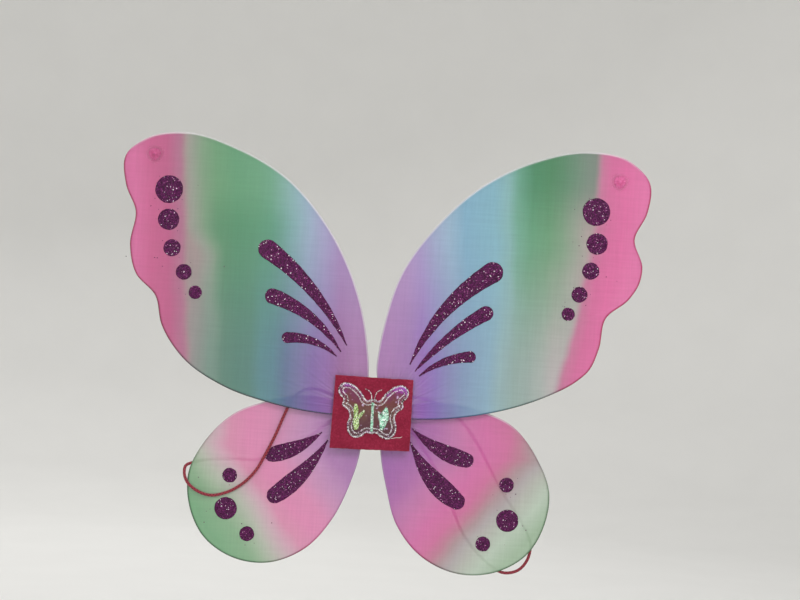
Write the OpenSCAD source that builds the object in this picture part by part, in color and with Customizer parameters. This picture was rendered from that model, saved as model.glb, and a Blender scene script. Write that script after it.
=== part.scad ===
// A pair of fairy wings: four sleeved wire loops tied together at the centre,
// two felt patches, a butterfly applique and two elastic arm loops.
// X runs along the span, +Z is up and the decorated side faces -Y.
// The origin is the centre of the back patch's rest face, which lies against the wearer.

/* [Wings] */
// Whole span, tip to tip
span = 480; // [430:2:540]
// Thickness of the steel wire in each loop
wire_d = 1.6; // [1.2:0.1:1.8]
// Thickness of the two-layer nylon inside each loop
nylon_t = 1.0; // [0.6:0.1:1.2]
// Distance between the upper and the lower pair, from mid-plane to mid-plane
plane_gap = 5.4; // [5.2:0.1:6.6]

/* [Glitter] */
// Thickness of the printed glitter
glitter_t = 0.3; // [0.2:0.1:0.5]
// Radius of the largest dot on an upper wing
upper_dot_r = 12.6; // [10:0.2:13.5]
// Radius of the largest dot on a lower wing
lower_dot_r = 10.2; // [7:0.2:11]

/* [Centre] */
// Width of the front felt patch
patch_w = 73; // [66:1:80]
// Height of the front felt patch
patch_h = 66; // [60:1:72]
// Thickness of both felt patches
felt_t = 1.5; // [1:0.1:2]
// Width of the applique butterfly
butterfly_w = 64; // [56:1:66]

/* [Arm loops] */
// Thickness of the round elastic
elastic_d = 2.8; // [2:0.1:2.9]

/* [Hidden] */

// The outlines below are drawn for a span of 480 mm and grow with the span.
grow = span / 480;

// Layers from the wearer forwards, all along -Y.
wire_r = wire_d / 2;
elastic_r = elastic_d / 2;
behind_y = -felt_t - elastic_r - 0.15;        // elastic behind the lower pair
lower_y = behind_y - elastic_r - 0.15 - 1.0;  // mid-plane of the lower pair
upper_y = lower_y - plane_gap;                // mid-plane of the upper pair
between_y = (lower_y + upper_y) / 2;          // elastic between the two pairs
tie_wall = 1.0;
binding_wall = 0.8;
binding_front = upper_y - wire_r - tie_wall - 0.2;
binding_back = lower_y + wire_r + tie_wall + 0.2;
patch_back_y = binding_front - binding_wall - 0.2;
patch_front_y = patch_back_y - felt_t;

// Hub, seen from the front.
binding_w = 7.6;
binding_z = 8.4;       // half the height of the opening
block_w = 6.8;
block_h = 9;
tie_in = 5.3;          // the ties lie between these two distances from the middle
tie_out = 7.1;
wire_end = 2.4;        // where each wire stops, inside the binding
upper_tie_z = 2.7;
lower_tie_z = -3.0;
leg_gap = 3.0;         // between the two legs of a wire in its tie

wire_step = 6.4;       // length of one straight piece of a curve
wire_sides = 8;
cord_step = 9;
cord_sides = 8;

// The wires are bent by hand, so the left and the right wings differ a little.
// All points are given for the right-hand side; the left wings are mirrored.

// Upper wing: up the inner edge, round the tip and back along the bottom edge.
RIGHT_UPPER = [
    [2.5, 38], [3.6, 60], [7.2, 83], [19.7, 127.5], [48.5, 172], [89, 211.5], [136, 237],
    [183, 248], [219.5, 242.5], [240, 222.5], [239, 197.5], [228.5, 171.5], [237, 146],
    [235, 132], [227, 118], [206.5, 99], [201.5, 70], [194, 51], [181.5, 39], [162, 27.5],
    [137, 16.5], [93, 4], [55, -1.5], [28, -2]
];
LEFT_UPPER = [
    [6.3, 38], [8.8, 60], [13, 83], [28, 127], [54, 171], [90, 208.5], [137, 233.5],
    [183, 245], [217, 239], [237, 222], [235.3, 196], [225.2, 172.5], [228.5, 141],
    [222, 116], [203, 96.5], [195.6, 70], [175.5, 42], [137, 18], [93, 5], [55, -1], [28, -2]
];
RIGHT_UPPER_IN = [[9.2, 5.4], [9.6, 9], [7.6, 16], [5, 26]];
LEFT_UPPER_IN = [[9.2, 5.4], [9.8, 9], [8.5, 16], [6.8, 26]];
UPPER_OUT = [[16, -0.6], [10, 0.8]];

// Lower wing: down the inner edge, round the bottom and back along the top edge.
RIGHT_LOWER = [
    [10, -34], [17, -66.5], [28, -99.5], [51.5, -127], [88, -141.5], [120, -138], [147, -121],
    [162, -92], [164.5, -64], [152, -34], [126.5, -4.5], [95, 7.5], [65, 12], [38, 9.5], [22, 4]
];
LEFT_LOWER = [
    [10, -34], [18, -66], [32, -98], [55, -126], [89, -141], [120, -138], [147, -121],
    [162, -92], [164, -64], [151, -35], [124, -7], [92, 6], [65, 12], [38, 9.5], [22, 4]
];
LOWER_IN = [[9.2, -5.6], [10, -9], [9.5, -16], [9.3, -24]];
LOWER_OUT = [[14, 0.6], [9.8, -1]];

// Dots: [x, z, radius as a share of the largest one on that wing].
RIGHT_UPPER_DOTS = [
    [193.2, 195, 1], [195.5, 166, 0.77], [191, 141, 0.62], [182, 119, 0.57],
    [172.8, 100.5, 0.48]
];
LEFT_UPPER_DOTS = [
    [196.6, 193.5, 1], [195.5, 166, 0.77], [191, 140.3, 0.62], [179, 119, 0.57],
    [167.6, 101, 0.48]
];
RIGHT_LOWER_DOTS = [[126, -58.5, 0.66], [128.5, -91, 1], [107.5, -113.5, 0.67]];
LEFT_LOWER_DOTS = [[127, -64, 0.66], [129, -94.3, 1], [108.4, -116.5, 0.67]];

// Drops: [pointed end, middle of the round end, sideways bow, round radius, fullness, belly].
RIGHT_UPPER_DROPS = [
    [[31.5, 46.5], [102, 134.5], 9, 9.6, 0.75, 0],
    [[36.5, 40.5], [98, 97], 4, 6.8, 0.7, 0],
    [[40.5, 36.5], [86, 56.5], 4, 5.2, 0.65, 0]
];
LEFT_UPPER_DROPS = [
    [[27, 60.5], [103.7, 144], 7.5, 8.8, 0.75, 0],
    [[32, 54.5], [96.7, 101.5], 7, 7.2, 0.7, 0],
    [[35.5, 50], [81.4, 64.7], 5.2, 5.1, 0.65, 0]
];
RIGHT_LOWER_DROPS = [
    [[37, -12], [88, -38], -4, 6.7, 0.7, 2.2],
    [[36, -24], [81.5, -76], -5, 7.4, 0.7, 3.6]
];
LEFT_LOWER_DROPS = [
    [[45, -20], [89.5, -43], -3, 6.7, 0.7, 2],
    [[39, -26], [85, -80], -4, 7.3, 0.7, 2.5]
];

RIGHT_TIP_KNOT = [213, 223.5];
LEFT_TIP_KNOT = [211.5, 225];
tip_knot_r = 4.5;
tip_knot_h = 2.2;

// Right half of the butterfly for a width of 64 mm, from the head down to the tail.
BUTTERFLY = [
    [0, 14], [5, 12], [11, 19], [19, 25.5], [27, 27], [32, 22], [31, 16], [27, 12], [28, 7],
    [22.5, 2.5], [20.5, -3], [22.5, -10], [21.5, -17], [15.5, -22.5], [9, -21], [4, -17.5],
    [0, -18.5]
];
butterfly_step = 2.4;
ANTENNA = [[1.5, 13.5], [1.8, 17], [4, 20.5], [7.5, 22.2]];
backing_t = 0.5;
film_t = 0.3;
stitch_t = 0.5;
stitch_w = 1.9;

// Arm loops at rest: [x, depth, z], from the knot round and back to the knot.
knot_x = 7;
knot_z = 13;
knot_r = 3;
LEFT_LOOP = [
    [-9, 0, 13], [-22, 0, 12], [-37, 0.35, 14.5], [-49, 0.8, 18.5], [-59, 1, 19],
    [-68, 1, 15], [-75, 1, 6], [-81, 1, -8], [-87, 1, -24], [-95, 1, -42], [-104, 1, -59],
    [-115, 1, -71], [-130, 1, -80], [-144, 1, -83], [-157, 1, -79], [-166, 1, -71],
    [-168.5, 0.7, -64], [-168, 0.3, -58], [-160, 0, -54], [-147, 0, -51], [-128, 0, -49],
    [-107, 0, -49], [-86, 0, -43], [-64, 0, -30], [-42, 0, -13], [-22, 0, 4], [-9, 0, 11]
];
RIGHT_LOOP = [
    [9, 0, 13], [30, 0, 17], [55, 0, 13], [76, 0, 2], [92, 0, -15], [106, 0, -37],
    [120, 0, -61], [134, 0, -81], [145, 0, -97], [151, 0, -112], [149, 0, -126],
    [141, 0, -136], [128, 0, -139], [114, 0, -132], [100, 0, -119], [88, 0, -104],
    [79, 0, -85], [69, 0, -62], [54, 0, -38], [38, 0, -16], [22, 0, 3], [9, 0, 11]
];

pale_pink = [0.96, 0.62, 0.82];
lilac = [0.68, 0.55, 0.88];
glitter_plum = [0.36, 0.05, 0.28];
crimson = [0.72, 0.08, 0.2];
steel = [0.75, 0.75, 0.78];
thread_white = [0.93, 0.9, 0.92];
glue_clear = [0.92, 0.9, 0.82];

// ---- curves ----

// Unit-speed direction of a point list at point i, by the lengths on both sides.
function direction(p, i) =
    i == 0 ? (p[1] - p[0]) / norm(p[1] - p[0]) :
    i == len(p) - 1 ? (p[i] - p[i - 1]) / norm(p[i] - p[i - 1]) :
    let (a = p[i] - p[i - 1], b = p[i + 1] - p[i], la = norm(a), lb = norm(b))
    (a * lb / la + b * la / lb) / (la + lb);

function between(a, b, da, db, t) =
    let (d = norm(b - a))
    (2 * t * t * t - 3 * t * t + 1) * a + (t * t * t - 2 * t * t + t) * d * da
    + (3 * t * t - 2 * t * t * t) * b + (t * t * t - t * t) * d * db;

// A smooth curve through points p, cut into pieces about `step` long.
function smooth(p, step) = [
    for (i = [0:len(p) - 2])
        let (n = max(1, round(norm(p[i + 1] - p[i]) / step)))
        for (k = [0:n - 1])
            between(p[i], p[i + 1], direction(p, i), direction(p, i + 1), k / n),
    p[len(p) - 1]
];

// The same curve moved sideways, to the right of its direction.
function shifted(p, d) = [
    for (i = [0:len(p) - 1])
        let (t = direction(p, i), u = t / norm(t))
        p[i] + d * [u.y, -u.x]
];

function flipped(p) = [for (i = [len(p) - 1:-1:0]) [-p[i].x, p[i].y]];

// A wire's whole route in its plane: out of the tie, round the loop and back in.
function wire_route(loop, into, out, tie_z) =
    let (
        top = tie_z + leg_gap / 2,
        low = tie_z - leg_gap / 2,
        first = loop[0].y > 0 ? top : low,
        last = loop[0].y > 0 ? low : top
    )
    concat(
        [[wire_end, first], [tie_out, first]],
        into,
        [for (q = loop) q * grow],
        out,
        [[tie_out, last], [wire_end, last]]
    );

right_upper = smooth(wire_route(RIGHT_UPPER, RIGHT_UPPER_IN, UPPER_OUT, upper_tie_z), wire_step);
left_upper = smooth(wire_route(LEFT_UPPER, LEFT_UPPER_IN, UPPER_OUT, upper_tie_z), wire_step);
right_lower = smooth(wire_route(RIGHT_LOWER, LOWER_IN, LOWER_OUT, lower_tie_z), wire_step);
left_lower = smooth(wire_route(LEFT_LOWER, LOWER_IN, LOWER_OUT, lower_tie_z), wire_step);

// ---- general shapes ----

// A closed tube along 3-D points that stay roughly in one XZ plane.
module tube(points, r, sides) {
    n = len(points);
    rings = [
        for (i = [0:n - 1])
            let (
                t = direction(points, i),
                side = cross(t, [0, 1, 0]),
                u = side / norm(side),
                w = cross(u, t / norm(t))
            )
            for (k = [0:sides - 1])
                points[i] + r * (cos(k * 360 / sides) * u + sin(k * 360 / sides) * w)
    ];
    faces = concat(
        [for (i = [0:n - 2]) for (k = [0:sides - 1])
            [i * sides + k, i * sides + (k + 1) % sides,
             (i + 1) * sides + (k + 1) % sides, (i + 1) * sides + k]],
        [[for (k = [sides - 1:-1:0]) k], [for (k = [0:sides - 1]) (n - 1) * sides + k]]
    );
    polyhedron(points = rings, faces = faces, convexity = 8);
}

// A flat layer, drawn in x and z, from y = front towards the wearer.
module layer(front, thickness) {
    translate([0, front + thickness, 0])
        rotate([90, 0, 0])
            linear_extrude(thickness)
                children();
}

module rounded_rectangle(w, h, r) {
    square([w - 2 * r, h], center = true);
    square([w, h - 2 * r], center = true);
    for (x = [-1, 1], y = [-1, 1])
        translate([x * (w / 2 - r), y * (h / 2 - r)])
            circle(r = r, $fn = 24);
}

module stadium(r, straight) {
    square([2 * r, straight], center = true);
    for (y = [-1, 1])
        translate([0, y * straight / 2])
            circle(r = r, $fn = 24);
}

module mirrored() {
    mirror([1, 0, 0])
        children();
}

// ---- one wing ----

module wing_wire(route, y) {
    color(steel)
        tube([for (p = route) [p.x, y, p.y]], wire_r, wire_sides);
}

// The nylon fills the loop up to the wire and starts outside the tie.
module wing_sleeve(route, y, inward) {
    inner = shifted(route, inward * (wire_r + 0.05));
    color(lilac)
        layer(y - nylon_t / 2, nylon_t)
            polygon([for (p = inner) if (p.x > tie_out + 0.2 || abs(p.y) > 10) p]);
}

module wing_tie(y, z) {
    color(thread_white)
        translate([tie_in, y, z])
            rotate([0, 90, 0])
                rotate([0, 0, 90])
                    linear_extrude(tie_out - tie_in)
                        difference() {
                            stadium(wire_r + tie_wall, leg_gap);
                            stadium(wire_r + 0.08, leg_gap);
                        }
}

module wing_dots(dots, r, y) {
    color(glitter_plum)
        layer(y - nylon_t / 2 - glitter_t, glitter_t)
            for (d = dots)
                translate([d.x, d.y] * grow)
                    circle(r = d[2] * r * grow, $fn = 48);
}

// One drop: a bowed centre line that widens to a round end, with a fuller middle by belly.
module drop_outline(tip, end, bow, r, fullness, belly) {
    along = (end - tip) / norm(end - tip);
    aside = [-along.y, along.x];
    middle = (tip + end) / 2 + 2 * bow * aside;
    function centre(t) = (1 - t) * (1 - t) * tip + 2 * t * (1 - t) * middle + t * t * end;
    function across(t) =
        let (d = (1 - t) * (middle - tip) + t * (end - middle), u = d / norm(d))
        [-u.y, u.x];
    function half_width(t) =
        max(0.8, r * pow(t, fullness) + belly * 6.75 * t * t * (1 - t));
    steps = 14;
    left = [for (k = [0:steps]) let (t = k / steps) centre(t) + across(t) * half_width(t)];
    right = [for (k = [steps:-1:0]) let (t = k / steps) centre(t) - across(t) * half_width(t)];
    last = across(1);
    cap = [for (a = [15:15:165]) end + r * (cos(a) * last + sin(a) * [last.y, -last.x])];
    polygon(concat(left, cap, right));
}

module wing_drops(drops, y) {
    color(glitter_plum)
        layer(y - nylon_t / 2 - glitter_t, glitter_t)
            for (d = drops)
                drop_outline(d[0] * grow, d[1] * grow, d[2] * grow, d[3] * grow, d[4],
                             d[5] * grow);
}

// The gathered end of an upper sleeve, pulled to the front and knotted.
module tip_knot(at) {
    color(pale_pink)
        translate([at.x * grow, upper_y - nylon_t / 2, at.y * grow])
            rotate([90, 0, 0])
                rotate_extrude($fn = 32)
                    intersection() {
                        square([tip_knot_r, tip_knot_h]);
                        dome_circle();
                    }
}

module dome_circle() {
    dome_r = (tip_knot_r * tip_knot_r + tip_knot_h * tip_knot_h) / (2 * tip_knot_h);
    translate([0, tip_knot_h - dome_r])
        circle(r = dome_r, $fn = 64);
}

// ---- the twenty-two wing nodes ----

module right_upper_wire() { wing_wire(right_upper, upper_y); }
module right_upper_sleeve() { wing_sleeve(right_upper, upper_y, 1); }
module right_upper_tie() { wing_tie(upper_y, upper_tie_z); }
module right_upper_dots() { wing_dots(RIGHT_UPPER_DOTS, upper_dot_r, upper_y); }
module right_upper_drops() { wing_drops(RIGHT_UPPER_DROPS, upper_y); }
module right_upper_tip_knot() { tip_knot(RIGHT_TIP_KNOT); }

module left_upper_wire() { mirrored() wing_wire(left_upper, upper_y); }
module left_upper_sleeve() { mirrored() wing_sleeve(left_upper, upper_y, 1); }
module left_upper_tie() { mirrored() wing_tie(upper_y, upper_tie_z); }
module left_upper_dots() { mirrored() wing_dots(LEFT_UPPER_DOTS, upper_dot_r, upper_y); }
module left_upper_drops() { mirrored() wing_drops(LEFT_UPPER_DROPS, upper_y); }
module left_upper_tip_knot() { mirrored() tip_knot(LEFT_TIP_KNOT); }

module right_lower_wire() { wing_wire(right_lower, lower_y); }
module right_lower_sleeve() { wing_sleeve(right_lower, lower_y, -1); }
module right_lower_tie() { wing_tie(lower_y, lower_tie_z); }
module right_lower_dots() { wing_dots(RIGHT_LOWER_DOTS, lower_dot_r, lower_y); }
module right_lower_drops() { wing_drops(RIGHT_LOWER_DROPS, lower_y); }

module left_lower_wire() { mirrored() wing_wire(left_lower, lower_y); }
module left_lower_sleeve() { mirrored() wing_sleeve(left_lower, lower_y, -1); }
module left_lower_tie() { mirrored() wing_tie(lower_y, lower_tie_z); }
module left_lower_dots() { mirrored() wing_dots(LEFT_LOWER_DOTS, lower_dot_r, lower_y); }
module left_lower_drops() { mirrored() wing_drops(LEFT_LOWER_DROPS, lower_y); }

// ---- centre ----

module front_patch() {
    color(crimson)
        layer(patch_front_y, felt_t)
            square([patch_w, patch_h], center = true);
}

// The back patch is a little smaller, so that it never shows from the front.
module back_patch() {
    color(crimson)
        layer(-felt_t, felt_t)
            square([patch_w - 6, patch_h - 6], center = true);
}

// Thread wound over the front and back of the four crossing roots.
module centre_binding() {
    depth = binding_back - binding_front;
    color(thread_white)
        translate([-binding_w / 2, (binding_front + binding_back) / 2, 0])
            rotate([0, 90, 0])
                rotate([0, 0, 90])
                    linear_extrude(binding_w)
                        difference() {
                            rounded_rectangle(depth + 2 * binding_wall,
                                              2 * (binding_z + binding_wall), 2.4);
                            rounded_rectangle(depth, 2 * binding_z, 1.6);
                        }
}

// Hot glue that joins the two patches above and below the binding.
module glue_block(z) {
    color(glue_clear)
        translate([-block_w / 2, patch_back_y, z])
            cube([block_w, -felt_t - patch_back_y, block_h]);
}

module glue_block_top() { glue_block(binding_z + binding_wall); }
module glue_block_bottom() { glue_block(-binding_z - binding_wall - block_h); }

// ---- butterfly ----

butterfly_grow = butterfly_w / 64;
half_butterfly = smooth([for (p = BUTTERFLY) p * butterfly_grow], butterfly_step);

// The butterfly's outline, drawn in by d.
module butterfly(d) {
    half = shifted(half_butterfly, d);
    right = [for (p = half) if (p.x > 0.3) p];
    top = [0, half[0].y];
    bottom = [0, half[len(half) - 1].y];
    polygon(concat([top], right, [bottom], flipped(right)));
}

module applique_backing() {
    color([0.55, 0.1, 0.3])
        layer(patch_front_y - backing_t, backing_t)
            butterfly(0);
}

module applique_film() {
    color([0.75, 0.5, 0.85])
        layer(patch_front_y - backing_t - film_t, film_t)
            butterfly(stitch_w);
}

module applique_outline() {
    color([0.85, 0.85, 0.9])
        layer(patch_front_y - backing_t - stitch_t, stitch_t)
            difference() {
                butterfly(0.1);
                butterfly(stitch_w - 0.05);
            }
}

module applique_body() {
    color([0.8, 0.95, 0.85])
        layer(patch_front_y - backing_t - film_t - stitch_t, stitch_t)
            translate([0, -5 * butterfly_grow])
                stadium(1.6, 17);
}

module applique_bars() {
    color([0.8, 0.95, 0.7])
        layer(patch_front_y - backing_t - film_t - stitch_t, stitch_t)
            for (side = [-1, 1])
                translate([side * 13 * butterfly_grow, -6 * butterfly_grow])
                    stadium(2.4, 17);
}

module applique_antennae() {
    curve = smooth([for (p = ANTENNA) p * butterfly_grow], 1.2);
    strip = concat(shifted(curve, 0.5), [for (i = [len(curve) - 1:-1:0])
        shifted(curve, -0.5)[i]]);
    color([0.85, 0.7, 0.75])
        layer(patch_front_y - stitch_t, stitch_t)
            for (side = [0, 1])
                mirror([side, 0])
                    polygon(strip);
}

// ---- arm loops ----

// Depth 0 is behind the lower pair, depth 1 is between the two pairs.
function loop_route(loop) = smooth([
    for (p = loop) [p.x, behind_y + p.y * (between_y - behind_y), p.z]
], cord_step);

module arm_loop(loop) {
    color(crimson)
        tube(loop_route(loop), elastic_r, cord_sides);
}

module loop_knot(x) {
    color(crimson)
        translate([x, behind_y + elastic_r, knot_z - 1])
            rotate([90, 0, 0])
                cylinder(r = knot_r, h = elastic_d, $fn = 32);
}

module left_arm_loop() { arm_loop(LEFT_LOOP); }
module right_arm_loop() { arm_loop(RIGHT_LOOP); }
module left_loop_knot() { loop_knot(-knot_x); }
module right_loop_knot() { loop_knot(knot_x); }

front_patch();
back_patch();
centre_binding();
glue_block_top();
glue_block_bottom();
applique_backing();
applique_film();
applique_outline();
applique_body();
applique_bars();
applique_antennae();
left_arm_loop();
left_loop_knot();
right_arm_loop();
right_loop_knot();
left_upper_wire();
left_upper_sleeve();
left_upper_tie();
left_upper_dots();
left_upper_drops();
left_upper_tip_knot();
right_upper_wire();
right_upper_sleeve();
right_upper_tie();
right_upper_dots();
right_upper_drops();
right_upper_tip_knot();
left_lower_wire();
left_lower_sleeve();
left_lower_tie();
left_lower_dots();
left_lower_drops();
right_lower_wire();
right_lower_sleeve();
right_lower_tie();
right_lower_dots();
right_lower_drops();
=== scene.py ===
# %% [markdown]
# # A pair of fairy wings
# Four loops of steel wire, each in a stretched nylon sleeve, are tied at the middle and
# hidden under two squares of felt. The design comes from CAD as a fixed frame, and this
# file makes what is seen: cloth, glitter, stitching, elastic. Every cell makes one thing.

import math
import random

import bmesh
import bpy
import numpy as np
from mathutils import Matrix, Vector, noise


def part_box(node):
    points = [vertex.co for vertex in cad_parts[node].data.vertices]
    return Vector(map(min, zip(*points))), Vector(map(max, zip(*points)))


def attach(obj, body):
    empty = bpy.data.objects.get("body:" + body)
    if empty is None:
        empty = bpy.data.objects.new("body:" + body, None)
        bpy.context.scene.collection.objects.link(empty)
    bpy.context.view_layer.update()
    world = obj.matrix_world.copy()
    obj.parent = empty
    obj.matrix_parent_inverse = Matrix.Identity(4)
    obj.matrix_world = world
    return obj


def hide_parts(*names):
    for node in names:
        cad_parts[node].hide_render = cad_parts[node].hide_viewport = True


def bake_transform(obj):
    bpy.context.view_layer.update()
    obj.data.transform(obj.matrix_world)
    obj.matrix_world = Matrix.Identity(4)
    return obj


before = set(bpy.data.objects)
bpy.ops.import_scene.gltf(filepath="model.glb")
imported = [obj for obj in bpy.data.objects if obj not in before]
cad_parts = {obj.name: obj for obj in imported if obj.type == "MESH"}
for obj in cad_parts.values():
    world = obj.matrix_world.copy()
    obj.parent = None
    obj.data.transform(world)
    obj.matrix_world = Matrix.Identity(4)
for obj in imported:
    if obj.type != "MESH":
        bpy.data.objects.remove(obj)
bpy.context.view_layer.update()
MM = 0.001
# Unseeded, noise vectors would start from the clock and differ from run to run.
noise.seed_set(5)

# %% [markdown]
# ## Where things are
# The frame says where every layer lies, so the depths are read from it. Depth runs along
# Y: the decorated side faces -Y and the wearer is at +Y. The outlines are the ones that
# the wires are bent to, in millimetres as x and z, with x counted outwards on both sides.

# %% Depths from the frame
SIDES = ("left", "right")
TIERS = ("upper", "lower")
SIGN = {"left": -1, "right": 1}


def middle(node):
    """The middle of a CAD node's box."""
    low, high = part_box(node)
    return (low + high) / 2


plane_y = {tier: middle(f"right_{tier}_wire").y for tier in TIERS}
behind_y = middle("right_arm_loop").y
between_y = (plane_y["upper"] + plane_y["lower"]) / 2
print("wing planes at y in mm:", {t: round(y / MM, 2) for t, y in plane_y.items()})

# %% Outlines of the wings
# The wires are bent by hand, so the two sides differ by a few millimetres.
TIE_Z = {"upper": 2.7, "lower": -3.0}
LEG_GAP = 3.0
# Each leg runs straight between these distances from the middle.
LEG_END, LEG_BEND = 2.4, 7.1
LOOP = {
    ("right", "upper"): [
        (9.2, 5.4), (9.6, 9), (7.6, 16), (5, 26), (2.5, 38), (3.6, 60), (7.2, 83),
        (19.7, 127.5), (48.5, 172), (89, 211.5), (136, 237), (183, 248), (219.5, 242.5),
        (240, 222.5), (239, 197.5), (228.5, 171.5), (237, 146), (235, 132), (227, 118),
        (206.5, 99), (201.5, 70), (194, 51), (181.5, 39), (162, 27.5), (137, 16.5), (93, 4),
        (55, -1.5), (28, -2), (16, -0.6), (10, 0.8),
    ],
    ("left", "upper"): [
        (9.2, 5.4), (9.8, 9), (8.5, 16), (6.8, 26), (6.3, 38), (8.8, 60), (13, 83),
        (28, 127), (54, 171), (90, 208.5), (137, 233.5), (183, 245), (217, 239), (237, 222),
        (235.3, 196), (225.2, 172.5), (228.5, 141), (222, 116), (203, 96.5), (195.6, 70),
        (175.5, 42), (137, 18), (93, 5), (55, -1), (28, -2), (16, -0.6), (10, 0.8),
    ],
    ("right", "lower"): [
        (9.2, -5.6), (10, -9), (9.5, -16), (9.3, -24), (10, -34), (17, -66.5), (28, -99.5),
        (51.5, -127), (88, -141.5), (120, -138), (147, -121), (162, -92), (164.5, -64),
        (152, -34), (126.5, -4.5), (95, 7.5), (65, 12), (38, 9.5), (22, 4), (14, 0.6),
        (9.8, -1),
    ],
    ("left", "lower"): [
        (9.2, -5.6), (10, -9), (9.5, -16), (9.3, -24), (10, -34), (18, -66), (32, -98),
        (55, -126), (89, -141), (120, -138), (147, -121), (162, -92), (164, -64),
        (151, -35), (124, -7), (92, 6), (65, 12), (38, 9.5), (22, 4), (14, 0.6), (9.8, -1),
    ],
}
ROOT = {"upper": Vector((13, 0, 3)) * MM, "lower": Vector((13, 0, -4)) * MM}


def placed(side, x, y, z):
    """A point of the right side, in millimetres but for y, on the side that is asked for."""
    return Vector((SIGN[side] * x * MM, y, z * MM))


def wire_points(side, tier):
    """A wire's route: out of its tie, round the loop and back in."""
    half = LEG_GAP / 2 if tier == "upper" else -LEG_GAP / 2
    first, last = TIE_Z[tier] + half, TIE_Z[tier] - half
    way_in, way_out = [(LEG_END, first), (LEG_BEND, first)], [(LEG_BEND, last), (LEG_END, last)]
    route = way_in + LOOP[side, tier] + way_out
    return [placed(side, x, plane_y[tier], z) for x, z in route]


print("points in each loop:", {wing: len(points) for wing, points in LOOP.items()})

# %% [markdown]
# ## Camera
# The wings are seen straight on from about two metres, with a long lens so that the
# outline keeps its true proportions. They hang a few degrees off level, which is done by
# rolling the camera, because the object itself stays where the frame has it.

# %% Make the camera
VIEW_WIDTH = 0.729
CAMERA_DISTANCE = 1.9
LOOK_AT = Vector((0.0191, plane_y["upper"], 0.1047))
ROLL = math.radians(3.3)
SENSOR = 36
FAR_AWAY = 20


def make_camera():
    data = bpy.data.cameras.new("camera")
    data.sensor_width = SENSOR
    data.lens = SENSOR * CAMERA_DISTANCE / VIEW_WIDTH
    data.clip_end = FAR_AWAY
    camera = bpy.data.objects.new("camera", data)
    bpy.context.scene.collection.objects.link(camera)
    facing = Matrix.Rotation(math.radians(90), 4, "X") @ Matrix.Rotation(ROLL, 4, "Z")
    stand = LOOK_AT - Vector((0, CAMERA_DISTANCE, 0))
    camera.matrix_world = Matrix.Translation(stand) @ facing
    bpy.context.scene.camera = camera
    return camera


camera = make_camera()
bpy.context.scene.view_settings.view_transform = "Standard"
print("lens in mm:", round(camera.data.lens, 1))

# %% [markdown]
# ## Curves
# Wires, elastic and threads all follow smooth lines. Blender's own curves could carry
# them, but then each handle is set by hand. A Hermite curve runs through every point that
# is given, and its direction at a point is weighted by the distances to the neighbours,
# which keeps it round where the points crowd together.

# %% Smooth lines
def direction(points, i):
    """The line's direction at point i, weighted by the lengths on both sides."""
    if i == 0:
        return (points[1] - points[0]).normalized()
    if i == len(points) - 1:
        return (points[i] - points[i - 1]).normalized()
    before, after = points[i] - points[i - 1], points[i + 1] - points[i]
    a, b = before.length, after.length
    return (before * b / a + after * a / b) / (a + b)


def evenly(points, step):
    """The same line with its points at even distances."""
    line = np.array([list(p) for p in points])
    pieces = np.linalg.norm(np.diff(line, axis=0), axis=1)
    along = np.concatenate([[0], np.cumsum(pieces)])
    at = np.linspace(0, along[-1], max(2, round(along[-1] / step)) + 1)
    return [Vector([np.interp(s, along, line[:, k]) for k in range(3)]) for s in at]


def smooth_line(points, step):
    """A smooth line through the points, in even steps."""
    fine = []
    for i in range(len(points) - 1):
        p, q = points[i], points[i + 1]
        reach = (q - p).length
        d, e = direction(points, i) * reach, direction(points, i + 1) * reach
        cuts = max(4, math.ceil(3 * reach / step))
        for k in range(cuts):
            t = k / cuts
            ends = (2 * t**3 - 3 * t**2 + 1) * p + (3 * t**2 - 2 * t**3) * q
            fine.append(ends + (t**3 - 2 * t**2 + t) * d + (t**3 - t**2) * e)
    fine.append(points[-1])
    return evenly(fine, step)


def length_of(points):
    return sum((b - a).length for a, b in zip(points, points[1:]))


print("upper wire, m:", round(length_of(smooth_line(wire_points("right", "upper"), 2 * MM)), 3))

# %% [markdown]
# ## Forms from rings
# A circle that is extruded again and again, and moved to a new place each time, can make
# a tube, a sleeve or a button. It is the one way of modelling that nearly every piece
# here shares, because cloth over wire, thread and elastic are all round things that
# change slowly along their length.

# %% Extrude a circle from ring to ring
def lofted(rings):
    """A circle extruded from each ring of places to the next."""
    bm = bmesh.new()
    bmesh.ops.create_circle(bm, segments=len(rings[0]), radius=1)
    verts, edges = bm.verts[:], bm.edges[:]
    for k, ring in enumerate(rings):
        if k:
            new = bmesh.ops.extrude_edge_only(bm, edges=edges)["geom"]
            verts = [g for g in new if isinstance(g, bmesh.types.BMVert)]
            edges = [g for g in new if isinstance(g, bmesh.types.BMEdge) and g.is_boundary]
        for v, place in zip(verts, ring):
            v.co = place
    return bm


def closed_up(bm, gap=1e-6):
    """Fill open ends, merge poles and turn the faces outwards."""
    bmesh.ops.holes_fill(bm, edges=[e for e in bm.edges if e.is_boundary], sides=0)
    bmesh.ops.remove_doubles(bm, verts=bm.verts, dist=gap)
    bmesh.ops.dissolve_degenerate(bm, edges=bm.edges, dist=gap)
    bmesh.ops.recalc_face_normals(bm, faces=bm.faces)
    return bm


def joined(parts):
    """Several meshes in one."""
    whole = bmesh.new()
    for part in parts:
        mesh = bpy.data.meshes.new("part")
        part.to_mesh(mesh)
        part.free()
        whole.from_mesh(mesh)
        bpy.data.meshes.remove(mesh)
    return whole


def finished(bm, name, *materials):
    """Turn a mesh into a piece whose object stays at the origin."""
    mesh = bpy.data.meshes.new(name)
    bm.to_mesh(mesh)
    bm.free()
    piece = bpy.data.objects.new(name, mesh)
    bpy.context.scene.collection.objects.link(piece)
    for material in materials:
        mesh.materials.append(material)
    mesh.polygons.foreach_set("use_smooth", [True] * len(mesh.polygons))
    return piece


print("forms from rings: ready")

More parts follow.
